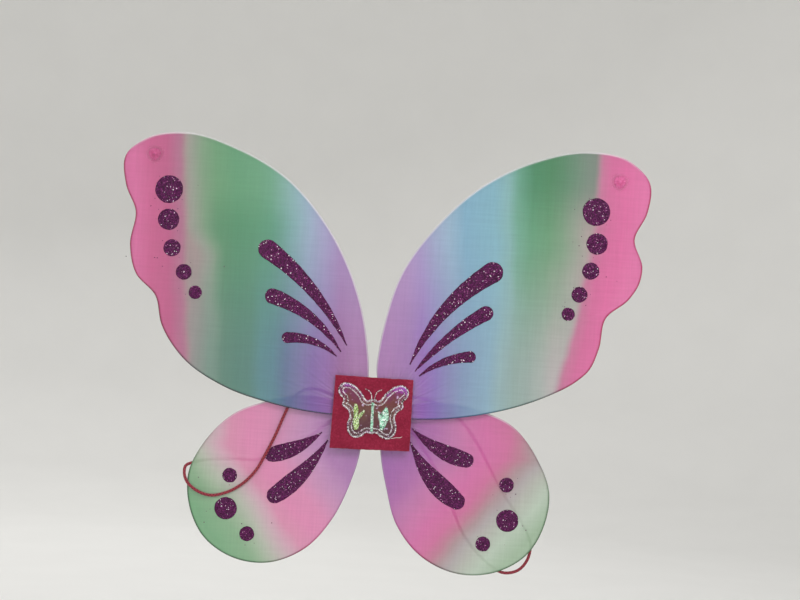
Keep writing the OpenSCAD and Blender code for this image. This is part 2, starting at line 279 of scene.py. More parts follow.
# %% Tubes
def map_along(bm, sides, lengths):
    """A UV map: how far along in metres, and the share of the way round."""
    uv = bm.loops.layers.uv.new("UVMap")
    bm.verts.index_update()
    for face in bm.faces:
        turns = [loop.vert.index % sides for loop in face.loops]
        wraps = max(turns) - min(turns) > 1
        for loop, turn in zip(face.loops, turns):
            turn = sides if wraps and turn == 0 else turn
            loop[uv].uv = (lengths[loop.vert.index // sides], turn / sides)


def tube(points, radius, sides, height=None):
    """A tube along a line. radius is one number or a list, and height its half depth."""
    radii = radius if isinstance(radius, list) else [radius] * len(points)
    rings, up, last = [], Vector((0, 1, 0)), len(points) - 1
    for i, p in enumerate(points):
        along = (points[min(i + 1, last)] - points[max(i - 1, 0)]).normalized()
        aside = along.cross(up)
        if aside.length < 1e-4:
            aside = along.orthogonal()
        aside.normalize()
        up = aside.cross(along).normalized()
        turns = [2 * math.pi * j / sides for j in range(sides)]
        rings.append(
            [
                p + radii[i] * math.cos(a) * aside + (height or radii[i]) * math.sin(a) * up
                for a in turns
            ]
        )
    bm = lofted(rings)
    steps = [(b - a).length for a, b in zip(points, points[1:])]
    map_along(bm, sides, [0] + list(np.cumsum(steps)))
    return closed_up(bm)


print("tubes: ready")

# %% [markdown]
# ## Materials from nodes
# Every finish is a small tree of nodes that ends in one Principled shader. Two short
# helpers keep the trees readable: one adds a node and fills or links its sockets, the
# other does a sum. What several finishes share is a group with named sockets.

# %% Add a node, do a sum
def rgb(code):
    """A colour code in sRGB as linear values."""
    parts = [int(code[i : i + 2], 16) / 255 for i in (0, 2, 4)]
    linear = [c / 12.92 if c <= 0.04045 else ((c + 0.055) / 1.055) ** 2.4 for c in parts]
    return (*linear, 1)


def put(tree, kind, settings=None, **sockets):
    """Add a node. A socket gets a value, or a link from another node's socket."""
    node = tree.nodes.new(kind)
    for name, value in (settings or {}).items():
        setattr(node, name, value)
    for name, value in sockets.items():
        place = int(name[1:]) if name[1:].isdigit() else name.replace("_", " ")
        socket = node.inputs[place]
        if isinstance(value, bpy.types.NodeSocket):
            tree.links.new(value, socket)
        else:
            socket.default_value = value
    return node


def sum_of(tree, operation, *values, clamp=False):
    settings = {"operation": operation, "use_clamp": clamp}
    return put(
        tree, "ShaderNodeMath", settings, **{f"n{i}": v for i, v in enumerate(values)}
    ).outputs[0]


print("mid grey as linear values:", [round(c, 3) for c in rgb("808080")])

# %% Colours and masks
def mixed(tree, share, a, b, blend="MIX"):
    """Colour a towards colour b by a share."""
    settings = {"data_type": "RGBA", "blend_type": blend}
    return put(tree, "ShaderNodeMix", settings, Factor=share, n6=a, n7=b).outputs[2]


def ramp(tree, value, stops):
    """A value from 0 to 1 as a colour, by a list of (place, colour code)."""
    node = put(tree, "ShaderNodeValToRGB", Fac=value)
    elements = node.color_ramp.elements
    while len(elements) < len(stops):
        elements.new(1)
    for element, (place, code) in zip(elements, stops):
        element.position, element.color = place, rgb(code)
    return node.outputs[0]


def eased(tree, value, low, high):
    """0 below low, 1 above high and smooth between them."""
    settings = {"interpolation_type": "SMOOTHSTEP"}
    return put(
        tree, "ShaderNodeMapRange", settings, Value=value, n1=low, n2=high
    ).outputs[0]


def here(tree):
    """The piece's own coordinates, in metres."""
    return put(tree, "ShaderNodeTexCoord").outputs["Object"]


print("colours and masks: ready")

# %% Materials and groups
def finish_of(name, colour=None, **values):
    """A material with its shader. Values that are the same all over are set on it."""
    material = bpy.data.materials.new(name)
    material.use_nodes = True
    shader = material.node_tree.nodes["Principled BSDF"]
    if colour:
        shader.inputs["Base Color"].default_value = rgb(colour)
    for key, value in values.items():
        shader.inputs[key.replace("_", " ")].default_value = value
    return material, material.node_tree, shader


def group_of(name, inputs, outputs):
    """An empty node group with named inputs and outputs."""
    tree = bpy.data.node_groups.new(name, "ShaderNodeTree")
    for label, kind in inputs:
        tree.interface.new_socket(label, in_out="INPUT", socket_type=f"NodeSocket{kind}")
    for label, kind in outputs:
        tree.interface.new_socket(label, in_out="OUTPUT", socket_type=f"NodeSocket{kind}")
    return tree, tree.nodes.new("NodeGroupInput"), tree.nodes.new("NodeGroupOutput")


def bumped(tree, shader, height, distance, strength=1.0):
    bump = put(tree, "ShaderNodeBump", Height=height, Distance=distance, Strength=strength)
    tree.links.new(bump.outputs[0], shader.inputs["Normal"])


print("materials and groups: ready")

# %% [markdown]
# ## The stage
# A pale floor that curves up into a wall all round, like the paper sweep in a studio. One
# profile is spun round the object, so the background is the same from every side. Large
# soft lights stand in front and above, and a weaker one behind for the wearer's side.

# %% Floor and sweep
FLOOR_Z = -0.36


def make_sweep():
    bm = bmesh.new()
    profile = [(0, 0), (2.4, 0), (2.8, 0.06), (3.1, 0.24), (3.3, 0.6), (3.4, 1.2), (3.4, 3.4)]
    verts = [bm.verts.new((r, 0, FLOOR_Z + h)) for r, h in profile]
    edges = [bm.edges.new(pair) for pair in zip(verts, verts[1:])]
    bmesh.ops.spin(
        bm, geom=verts + edges, cent=(0, 0, 0), axis=(0, 0, 1), angle=math.tau, steps=72,
        use_merge=True,
    )
    bmesh.ops.remove_doubles(bm, verts=bm.verts, dist=1e-5)
    bmesh.ops.recalc_face_normals(bm, faces=bm.faces)
    material, tree, shader = finish_of("studio_paper", "e8e7e4", Roughness=0.9)
    grain = put(tree, "ShaderNodeTexNoise", Vector=here(tree), Scale=9.0, Detail=4.0)
    tone = ramp(tree, grain.outputs[0], [(0.3, "e7e6e3"), (0.7, "e9e8e5")])
    tree.links.new(tone, shader.inputs["Base Color"])
    sweep = finished(bm, "studio_sweep", material)
    return sweep


sweep = make_sweep()
print("sweep faces:", len(sweep.data.polygons))

# %% Lights
def soft_light(name, place, target, size, watts, tint=(1, 1, 1)):
    data = bpy.data.lights.new(name, "AREA")
    data.shape, data.size, data.energy, data.color = "DISK", size, watts, tint
    light = bpy.data.objects.new(name, data)
    bpy.context.scene.collection.objects.link(light)
    look = (Vector(target) - Vector(place)).to_track_quat("-Z", "Y").to_matrix().to_4x4()
    light.matrix_world = Matrix.Translation(Vector(place)) @ look
    return light


def light_the_stage():
    world = bpy.data.worlds.new("studio_air")
    world.use_nodes = True
    world.node_tree.nodes["Background"].inputs["Color"].default_value = rgb("f2f4f6")
    world.node_tree.nodes["Background"].inputs["Strength"].default_value = 0.345
    bpy.context.scene.world = world
    soft_light("key", (0.9, -2.3, 1.9), (0.05, 0, 0.05), 1.3, 38)
    soft_light("fill", (-1.3, -2.4, 0.7), (-0.05, 0, 0.05), 1.5, 13)
    soft_light("above", (0.1, -0.3, 2.4), (0, 0, 0), 1.1, 15.5)
    soft_light("behind", (-0.8, 2.3, 1.6), (0, 0, 0.05), 1.4, 23)


light_the_stage()

# %% [markdown]
# ## Arm loops
# Round braided elastic, 2.8 mm thick, goes over each shoulder. Laid flat, the left loop
# slips between the wings, comes to the front and goes back round the lower wing's edge.
# The right loop stays behind. Each is a mesh tube along its route rather than a curve
# with a bevel, because its UV map lets the braid follow the cord's own length.

# %% Braided elastic
CORD_DIAMETER = 2.8 * MM
BRAID = 1 / (3.2 * MM)


def make_elastic():
    material, tree, shader = finish_of("elastic_red", Roughness=0.62, Sheen_Weight=0.25)
    along, around, _ = put(
        tree, "ShaderNodeSeparateXYZ", Vector=put(tree, "ShaderNodeTexCoord").outputs["UV"]
    ).outputs
    lean = sum_of(tree, "MULTIPLY", along, BRAID)
    heights = []
    for turns in (3.0, -3.0):
        place = sum_of(tree, "MULTIPLY_ADD", around, turns, lean)
        heights.append(sum_of(tree, "PINGPONG", place, 0.5))
    ridge = sum_of(tree, "MAXIMUM", *heights)
    fine = put(tree, "ShaderNodeTexNoise", Vector=here(tree), Scale=900.0, Detail=2.0)
    # The braid's colour follows its ridges, as painted shade in the grooves and painted light on
    # the strands; the fine noise is tone that differs at random.
    shade = sum_of(tree, "MULTIPLY_ADD", fine.outputs[0], 0.25, ridge)
    colour = ramp(tree, shade, [(0.2, "440512"), (0.42, "7c0d24"), (0.66, "a01a34")])
    tree.links.new(colour, shader.inputs["Base Color"])
    bumped(tree, shader, ridge, 0.0006)
    return material


elastic = make_elastic()
print("elastic: ready")

# %% Routes of the arm loops: x, depth from behind (0) to between the pairs (1), and z
LOOP_ROUTE = {
    "left": [
        (-9, 0, 13), (-22, 0, 12), (-37, 0.35, 14.5), (-49, 0.8, 18.5), (-59, 1, 19),
        (-68, 1, 15), (-75, 1, 6), (-81, 1, -8), (-87, 1, -24), (-95, 1, -42),
        (-104, 1, -59), (-115, 1, -71), (-130, 1, -80), (-144, 1, -83), (-157, 1, -79),
        (-166, 1, -71), (-168.5, 0.7, -64), (-168, 0.3, -58), (-160, 0, -54),
        (-147, 0, -51), (-128, 0, -49), (-107, 0, -49), (-86, 0, -43), (-64, 0, -30),
        (-42, 0, -13), (-22, 0, 4), (-9, 0, 11),
    ],
    "right": [
        (9, 0, 13), (30, 0, 17), (55, 0, 13), (76, 0, 2), (92, 0, -15), (106, 0, -37),
        (120, 0, -61), (134, 0, -81), (145, 0, -97), (151, 0, -112), (149, 0, -126),
        (141, 0, -136), (128, 0, -139), (114, 0, -132), (100, 0, -119), (88, 0, -104),
        (79, 0, -85), (69, 0, -62), (54, 0, -38), (38, 0, -16), (22, 0, 3), (9, 0, 11),
    ],
}
CORD_STEP = 1.3 * MM
KNOT = Vector((7 * MM, behind_y, 12 * MM))
# How far a knot's line swings, in millimetres. Sideways and up, a lobe reaches nearly
# three times as far.
KNOT_WIDE, KNOT_DEEP, KNOT_TALL = 0.75, 0.5, 0.62


def bend_across(piece):
    """Bake the piece's transform into its mesh."""
    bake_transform(piece)


def loop_path(side):
    depth = between_y - behind_y
    points = [
        Vector((x * MM, behind_y + share * depth, z * MM)) for x, share, z in LOOP_ROUTE[side]
    ]
    return smooth_line(points, CORD_STEP)


print("left loop starts at, m:", [round(c, 4) for c in loop_path("left")[0]])

# %% Make the loops and their knots
def make_loop_knot(side):
    """An overhand knot: a three-lobed line that goes over and under itself."""
    line = []
    steps = 96
    for k in range(steps + 1):
        t = math.tau * k / steps
        x = SIGN[side] * KNOT_WIDE * (math.sin(t) + 2 * math.sin(2 * t))
        z = KNOT_TALL * (math.cos(t) - 2 * math.cos(2 * t))
        lobe = Vector((x, -KNOT_DEEP * math.sin(3 * t), z)) * MM
        line.append(Vector((SIGN[side] * KNOT.x, KNOT.y, KNOT.z)) + lobe)
    knot = finished(tube(line, 0.95 * MM, 10), f"elastic_knot_{side}", elastic)
    bend_across(knot)
    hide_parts(f"{side}_loop_knot")
    return knot


def make_arm_loop(side):
    path = loop_path(side)
    cord = finished(tube(path, CORD_DIAMETER / 2, 14), f"elastic_loop_{side}", elastic)
    bend_across(cord)
    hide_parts(f"{side}_arm_loop")
    knot = make_loop_knot(side)
    return cord, length_of(path)


for side in SIDES:
    cord, length = make_arm_loop(side)
    print(cord.name, "is", round(length, 3), "m long,", len(cord.data.polygons), "faces")

# %% [markdown]
# ## Dyed nylon
# The sleeves are dyed in bands: lilac at the middle, then blue and green, a pale grey
# band, and pink at the tips. The bands run across each wing, and they are strong at the
# top and paler lower down. Each half of the pair was dyed on its own, so the two sides
# don't match. A painted image could hold the dye, but colour ramps that read the place on
# the piece stay clean at any size, and one number moves a whole band.

# %% Where a point lies in the dye
DYE_REACH = 0.25
PINK_REACH = 0.06
# The upper bands lean by 3.3 degrees: the cosine and the sine of that.
LEAN_ACROSS, LEAN_UP = 0.998, 0.0576
# How far the dye has crept along the threads.
UPPER_CREEP, LOWER_CREEP = 0.012, 0.02
# The height where the pink's edge starts to slant, and the heights of each change.
PINK_BEND_Z = 0.194
PALER = (0.18, 0.03)
GREY_SLIPS = (0.165, 0.13)
TOP_DEEPENS = (0.165, 0.225)
REST_DEEPENS = (0.205, 0.16)
# How far across each change comes in.
OUTER_HALF = (0.12, 0.15)
PAST_LILAC = (0.055, 0.085)
BEFORE_GREY = (0.16, 0.14)
# Below this height the lower wing's bands slant outwards, by this much.
LOWER_BEND_Z, LOWER_SLANT = -0.035, 0.78


def make_upper_dye_group():
    """Outputs: place across the bands, how low or high, and how far past the pink's edge."""
    tree, given, out = group_of(
        "dye_across_upper_wing",
        [("Side", "Float"), ("Slip", "Float"), ("Pink Edge", "Float"), ("Pink Slant", "Float")],
        [("Band", "Float"), ("High Band", "Float"), ("Low", "Float"), ("Outer Top", "Float"),
         ("Outer Rest", "Float"), ("Past Pink", "Float")],
    )
    place = here(tree)
    x, _, z = put(tree, "ShaderNodeSeparateXYZ", Vector=place).outputs
    uneven = put(tree, "ShaderNodeTexNoise", Vector=place, Scale=14.0, Detail=3.0)
    creep = sum_of(tree, "MULTIPLY_ADD", uneven.outputs[0], UPPER_CREEP, -UPPER_CREEP / 2)
    across = sum_of(tree, "MULTIPLY_ADD", sum_of(tree, "ABSOLUTE", x), LEAN_ACROSS, creep)
    tilt = sum_of(tree, "MULTIPLY", given.outputs["Side"], LEAN_UP)
    band = sum_of(tree, "MULTIPLY_ADD", z, tilt, across)
    below = sum_of(tree, "MAXIMUM", sum_of(tree, "SUBTRACT", PINK_BEND_Z, z), 0.0)
    moved = sum_of(tree, "MULTIPLY_ADD", below, given.outputs["Pink Slant"], band)
    past = sum_of(tree, "SUBTRACT", moved, given.outputs["Pink Edge"])
    tree.links.new(sum_of(tree, "DIVIDE", band, DYE_REACH), out.inputs["Band"])
    tree.links.new(eased(tree, z, *PALER), out.inputs["Low"])
    # Halfway up, the grey band starts nearer the middle.
    outer = eased(tree, band, *OUTER_HALF)
    slips = sum_of(tree, "MULTIPLY", eased(tree, z, *GREY_SLIPS), outer)
    high = sum_of(tree, "MULTIPLY_ADD", slips, given.outputs["Slip"], band)
    tree.links.new(sum_of(tree, "DIVIDE", high, DYE_REACH), out.inputs["High Band"])
    top = sum_of(tree, "MULTIPLY", eased(tree, z, *TOP_DEEPENS), outer)
    rest = sum_of(
        tree, "MULTIPLY", eased(tree, z, *REST_DEEPENS), eased(tree, band, *PAST_LILAC)
    )
    rest = sum_of(tree, "MULTIPLY", rest, eased(tree, high, *BEFORE_GREY))
    tree.links.new(top, out.inputs["Outer Top"])
    tree.links.new(rest, out.inputs["Outer Rest"])
    tree.links.new(sum_of(tree, "DIVIDE", past, PINK_REACH), out.inputs["Past Pink"])
    return tree


upper_dye = make_upper_dye_group()
print("upper dye:", len(upper_dye.nodes), "nodes")

# %% The lower wings' dye, and the knit
def make_lower_dye_group():
    """Outputs: place across the bands, which lean outwards going up."""
    tree, _, out = group_of("dye_across_lower_wing", [], [("Band", "Float")])
    place = here(tree)
    x, _, z = put(tree, "ShaderNodeSeparateXYZ", Vector=place).outputs
    uneven = put(tree, "ShaderNodeTexNoise", Vector=place, Scale=16.0, Detail=3.0)
    creep = sum_of(tree, "MULTIPLY_ADD", uneven.outputs[0], LOWER_CREEP, -LOWER_CREEP / 2)
    below = sum_of(tree, "MAXIMUM", sum_of(tree, "SUBTRACT", LOWER_BEND_Z, z), 0.0)
    across = sum_of(tree, "MULTIPLY_ADD", below, LOWER_SLANT, sum_of(tree, "ABSOLUTE", x))
    band = sum_of(tree, "ADD", across, creep)
    tree.links.new(sum_of(tree, "DIVIDE", band, DYE_REACH), out.inputs["Band"])
    return tree


def make_knit_group():
    """Fine ribs both ways, as in stocking nylon: a shade to multiply by, and a height."""
    tree, given, out = group_of(
        "knit_ribs", [("Depth", "Float")], [("Shade", "Color"), ("Height", "Float")]
    )
    heights = []
    for scale in ((620, 200, 34), (30, 200, 560)):
        stretched = put(tree, "ShaderNodeMapping", n0=here(tree), Scale=scale)
        threads = put(tree, "ShaderNodeTexNoise", Vector=stretched.outputs[0], Scale=1.0)
        heights.append(threads.outputs[0])
    height = sum_of(tree, "MULTIPLY", sum_of(tree, "ADD", *heights), 0.5)
    around_one = sum_of(tree, "SUBTRACT", height, 0.5)
    shade = sum_of(tree, "MULTIPLY_ADD", around_one, given.outputs["Depth"], 1.0)
    tree.links.new(shade, out.inputs["Shade"])
    tree.links.new(height, out.inputs["Height"])
    return tree


lower_dye, knit_ribs = make_lower_dye_group(), make_knit_group()
print("groups:", [g.name for g in bpy.data.node_groups])

# %% Colours of the bands, by millimetres across
HIGH_BANDS = {
    "left": [
        (30, "a98fc0"), (45, "a4a3c6"), (58, "9bb0c6"), (70, "8eb2b8"), (81, "7eaca0"),
        (93, "6ba487"), (105, "659f7b"), (125, "5f9b73"), (142, "689a72"),
        (153, "7b9b7d"), (163, "959a8e"), (173, "a48f8f"),
    ],
    "right": [
        (30, "b597c6"), (45, "aa9cc9"), (58, "a2accb"), (72, "98b4cb"), (86, "82aec6"),
        (112, "84b3c3"), (124, "86b3b4"), (133, "70a893"), (146, "5f9c78"),
        (162, "639972"), (174, "789c7e"), (186, "959f90"), (196, "ac9f9c"),
        (208, "b5979b"),
    ],
}
LOW_BANDS = {
    "left": [
        (16, "a674a8"), (30, "98649c"), (42, "8f66a8"), (54, "8165a5"), (66, "7a72a4"),
        (78, "7179a3"), (90, "678a9e"), (102, "66909a"), (112, "5f8881"),
        (124, "5f887d"), (138, "688a7c"), (150, "738f83"), (162, "8a8d8a"),
        (172, "9a888d"),
    ],
    "right": [
        (16, "a878b0"), (34, "9e74b0"), (46, "9569b6"), (57, "8b73b8"), (69, "8686b6"),
        (82, "8397b9"), (94, "87a4be"), (106, "8bacc0"), (117, "93b0b5"),
        (130, "92a9a4"), (142, "99aaa5"), (154, "a8b0ac"), (164, "b8b1b2"),
    ],
}
PINKS = {
    "left": [(0, "a87f8c"), (7, "af6c8c"), (18, "bd5c89"), (32, "c6608f"), (48, "d36fa0")],
    "right": [(0, "b98a9e"), (6, "c7759b"), (14, "d46e9f"), (26, "dd70a5"), (44, "e078ab")],
}
PINK_EDGE = {"left": 0.168, "right": 0.205}
PINK_SLANT = {"left": 0.0, "right": 0.237}
SLIP = {"left": 0.014, "right": 0.005}
LOWER_BANDS = {
    "left": [
        (20, "a470ac"), (42, "b07bb3"), (58, "bf8cb9"), (75, "cb90b8"), (92, "da8db5"),
        (110, "dc8bb4"), (128, "d790b0"), (140, "cea7b7"), (150, "c3b2b4"),
        (160, "b4b8ab"), (172, "9cb398"), (184, "83aa85"), (204, "74a67c"),
    ],
    "right": [
        (20, "9f62aa"), (42, "a663a8"), (58, "b06aaa"), (72, "bd74ab"), (88, "cb76ab"),
        (106, "d270a8"), (124, "ce719f"), (135, "be7c95"), (145, "ad9197"),
        (156, "afa7a8"), (168, "b4b7ae"), (184, "b9c8b8"), (204, "a0b89e"),
    ],
}


print("bands in each ramp:", {side: len(bands) for side, bands in HIGH_BANDS.items()})

# %% Nylon for each wing
NYLON_COVER = 0.72
KNIT_DEPTH = 0.3


def stops_of(bands, reach):
    return [(mm * MM / reach, code) for mm, code in bands]


def dye_colour(tree, side, tier):
    """The dyed colour at every point of one wing."""
    if tier == "lower":
        band = put(tree, "ShaderNodeGroup", {"node_tree": lower_dye}).outputs["Band"]
        return ramp(tree, band, stops_of(LOWER_BANDS[side], DYE_REACH))
    dye = put(
        tree, "ShaderNodeGroup", {"node_tree": upper_dye},
        Side=float(SIGN[side]), Slip=SLIP[side], Pink_Edge=PINK_EDGE[side],
        Pink_Slant=PINK_SLANT[side],
    ).outputs
    high = ramp(tree, dye["High Band"], stops_of(HIGH_BANDS[side], DYE_REACH))
    low = ramp(tree, dye["Band"], stops_of(LOW_BANDS[side], DYE_REACH))
    pink = ramp(tree, dye["Past Pink"], stops_of(PINKS[side], PINK_REACH))
    bands = mixed(tree, dye["Low"], high, low)
    part, tone = {
        "left": ("Outer Rest", (0.66, 0.84, 0.8, 1)), "right": ("Outer Top", (0.42, 0.7, 0.58, 1))
    }[side]
    deeper = mixed(tree, dye[part], bands, tone, "MULTIPLY")
    reached = eased(tree, dye["Past Pink"], -0.05, 0.09)
    return mixed(tree, reached, deeper, pink)


def make_nylon(side, tier, name, cover):
    """Dyed nylon: cover is what one layer hides, as a number or an attribute's name."""
    material, tree, shader = finish_of(
        name, Roughness=0.42, Sheen_Weight=0.15, Specular_IOR_Level=0.45
    )
    if isinstance(cover, str):
        share = put(tree, "ShaderNodeAttribute", {"attribute_name": cover}).outputs["Fac"]
        tree.links.new(share, shader.inputs["Alpha"])
    else:
        shader.inputs["Alpha"].default_value = cover
    colour = dye_colour(tree, side, tier)
    colour = put(tree, "ShaderNodeHueSaturation", Saturation=1.06, Color=colour).outputs[0]
    knit = put(tree, "ShaderNodeGroup", {"node_tree": knit_ribs}, Depth=KNIT_DEPTH).outputs
    colour = mixed(tree, 1.0, colour, knit["Shade"], "MULTIPLY")
    # A deeper copy of the dye is painted as shade on the rims and on the tip knots, and
    # near-white is painted as a highlight on the rims' upper edges.
    painted_shade_colour = put(tree, "ShaderNodeGamma", Color=colour, Gamma=2.6).outputs[0]
    for edge, shade in (("rim_painted_shade", painted_shade_colour), ("rim_painted_highlight", rgb("f6f0f4"))):
        share = put(tree, "ShaderNodeAttribute", {"attribute_name": edge}).outputs["Fac"]
        colour = mixed(tree, share, colour, shade)
    tree.links.new(colour, shader.inputs["Base Color"])
    bumped(tree, shader, knit["Height"], 0.0004, 0.35)
    return material


nylon = {
    (side, tier): make_nylon(side, tier, f"nylon_{tier}_{side}", NYLON_COVER)
    for side in SIDES
    for tier in TIERS
}
print("nylons:", [m.name for m in nylon.values()])

# %% [markdown]
# ## Sleeves
# A sleeve is a tube of knitted nylon pulled over a bent wire, so it is two layers of cloth
# that touch the wire all round and come together between. A cloth simulation could shrink
# a tube over the wire, but taut cloth has no drape, so the result would be this shape
# anyway. Each sleeve is lofted in one go: from the middle of the front layer out to the
# rim, round the wire, and back to the middle of the back layer. Folds run out from the
# hub, where the cloth is gathered under its tie.

# %% How the nylon stands off its plane
WIRE_RADIUS = 0.8 * MM
RIM_RADIUS = 0.95 * MM
REST_GAP = 0.45 * MM
# How far the folds reach from the hub, and where the cloth there starts to lift.
FOLD_REACH, FAINT_REACH, FOLD_START = 58 * MM, 120 * MM, 25 * MM
fold_waves = {}
random.seed(11)
for side in SIDES:
    for tier in TIERS:
        fold_waves[side, tier] = [
            (random.choice((n, n + 3, n - 2)), random.uniform(0, math.tau), height)
            for n, height in ((41, 0.11), (67, 0.09), (97, 0.06), (23, 0.08))
        ]


def gathers(side, tier, p):
    """The height of the folds that run out from the hub, and of the cloth's slow waves."""
    dx, dz = abs(p.x) - ROOT[tier].x, p.z - ROOT[tier].z
    reach, angle = math.hypot(dx, dz), math.atan2(dz, dx)
    fade = math.exp(-((reach / FOLD_REACH) ** 2)) + 0.12 * math.exp(-reach / FAINT_REACH)
    folds = sum(h * math.sin(n * angle + turn) for n, turn, h in fold_waves[side, tier])
    slow = noise.noise(Vector((p.x, SIGN[side] * 0.1, p.z)) * 16)
    return (fade * min(1, reach / FOLD_START) * folds + 0.12 * slow) * MM


def front_of(side, tier, p, proud=0.0):
    """A place on the front layer of a sleeve, or a little proud of it."""
    return Vector((p.x, plane_y[tier] - REST_GAP - gathers(side, tier, p) - proud, p.z))


fold = gathers("right", "upper", Vector((0.05, 0, 0.02)))
print("a fold near the hub, mm:", round(fold / MM, 3))

# %% Rings of a sleeve
# Shares of the way from the rim, at 0, to the root, at 1.
SHARES = [0.985, 0.955, 0.92] + [0.88 - 0.04 * k for k in range(19)]
SHARES += [0.13, 0.1, 0.075, 0.052, 0.035, 0.023, 0.014, 0.008, 0.004, 0.0015]
RIM_STEP = 2.6 * MM
TIE_CLEAR_X, TIE_CLEAR_Z = 7.6 * MM, 10 * MM
# How soon, going in from the wire, the cloth comes down and its folds set in.
CLOSES_OVER, SETTLES_OVER = 4 * MM, 6 * MM


def root_of(side, tier):
    """The place under the tie where a sleeve's folds come together."""
    return Vector((SIGN[side] * ROOT[tier].x, plane_y[tier], ROOT[tier].z))


def sleeve_outline(side, tier):
    """The wire's line from where it leaves the tie, closed across the root."""
    line = smooth_line(wire_points(side, tier), RIM_STEP)
    return [p for p in line if abs(p.x) > TIE_CLEAR_X or abs(p.z) > TIE_CLEAR_Z]


def layer_ring(side, tier, outline, outs, share, turn):
    """A ring of one layer: a share of the way from the rim to the root."""
    root = root_of(side, tier)
    ring = []
    for p, out in zip(outline, outs):
        place = p.lerp(root, share)
        inset = abs((p - place).dot(out))
        off = REST_GAP + (RIM_RADIUS - REST_GAP) * math.exp(-inset / CLOSES_OVER)
        settled = 1 - math.exp(-inset / SETTLES_OVER)
        folds = gathers(side, tier, place) * settled * (1 if turn < 0 else -0.4)
        ring.append(place + Vector((0, turn * (off + folds), 0)))
    return ring


def outward(outline):
    """The direction away from the cloth at every point of its rim."""
    turn = 1 if sum(a.x * b.z - b.x * a.z for a, b in zip(outline, outline[1:])) > 0 else -1
    outs = []
    for i in range(len(outline)):
        along = outline[(i + 1) % len(outline)] - outline[i - 1]
        outs.append(Vector((along.z, 0, -along.x)).normalized() * turn)
    return outs


def rim_ring(outline, outs, angle):
    """A ring on the nylon's way round the wire."""
    return [
        p + RIM_RADIUS * (math.cos(angle) * out - math.sin(angle) * Vector((0, 1, 0)))
        for p, out in zip(outline, outs)
    ]


print("places on a ring:", len(sleeve_outline("right", "upper")))

# %% Loft the sleeves
def paint_rim_light_and_shade(bm, side, outline, outs):
    """Painted highlight where the rim faces up or inwards, painted shade where it faces down or
    out.
    """
    painted_shade, painted_highlight = (bm.verts.layers.float.new(f"rim_{shade}") for shade in ("painted_shade", "painted_highlight"))
    bm.verts.index_update()
    for v in bm.verts:
        i = v.index % len(outline)
        inset = (outline[i] - v.co).dot(outs[i])
        near = max(0, min(1, (0.9 * MM - inset) / (1.1 * MM)))
        # How much the rim faces the light from above. The painted shade also stands in part for
        # the cloth doubled round the wire.
        upwards = 0.85 * outs[i].z - 0.5 * SIGN[side] * outs[i].x
        v[painted_shade] = 0.9 * near * max(0, min(1, 0.35 - 1.6 * upwards))
        v[painted_highlight] = 0.65 * near * max(0, min(1, 1.6 * upwards - 0.2))


def make_sleeve(side, tier):
    outline = sleeve_outline(side, tier)
    outs = outward(outline)
    root = root_of(side, tier)
    front = [layer_ring(side, tier, outline, outs, s, -1) for s in SHARES]
    back = [layer_ring(side, tier, outline, outs, s, 1) for s in reversed(SHARES)]
    turns = [math.pi / 2 * k / 4 for k in range(4, -5, -1)]
    rims = [rim_ring(outline, outs, a) for a in turns]
    poles = [[root + Vector((0, y * REST_GAP, 0))] * len(outline) for y in (-1, 1)]
    bm = lofted([poles[0], *front, *rims, *back, poles[1]])
    paint_rim_light_and_shade(bm, side, outline, outs)
    closed_up(bm)
    sleeve = finished(bm, f"nylon_sleeve_{side}_{tier}", nylon[side, tier])
    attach(sleeve, f"{side}_{tier}_wing")
    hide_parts(f"{side}_{tier}_sleeve")
    return sleeve


# The nylon is knitted smaller than the loop and pulled over it.
for side in SIDES:
    for tier in TIERS:
        sleeve = make_sleeve(side, tier)
        print(sleeve.name, len(sleeve.data.polygons), "faces")

# %% [markdown]
# ## Wires
# Each loop is one length of 1.6 mm steel wire. It shows as a firm line under the cloth,
# bare only inside the hub. The same tube that made the elastic makes the wire.

# %% Bend the wires
def make_wire_steel():
    material, tree, shader = finish_of("wire_steel", Metallic=1.0)
    scratch = put(tree, "ShaderNodeTexNoise", Vector=here(tree), Scale=400.0, Detail=4.0)
    tone = ramp(tree, scratch.outputs[0], [(0.3, "8c8e92"), (0.7, "b4b6ba")])
    rough = sum_of(tree, "MULTIPLY_ADD", scratch.outputs[0], 0.25, 0.2)
    tree.links.new(tone, shader.inputs["Base Color"])
    tree.links.new(rough, shader.inputs["Roughness"])
    return material


WIRE_STEP = 2.4 * MM
wire_steel = make_wire_steel()
for side in SIDES:
    for tier in TIERS:
        line = smooth_line(wire_points(side, tier), WIRE_STEP)
        wire = finished(tube(line, WIRE_RADIUS, 12), f"bent_wire_{side}_{tier}", wire_steel)
        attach(wire, f"{side}_{tier}_wing")
        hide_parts(f"{side}_{tier}_wire")
        print(wire.name, round(length_of(line), 3), "m")
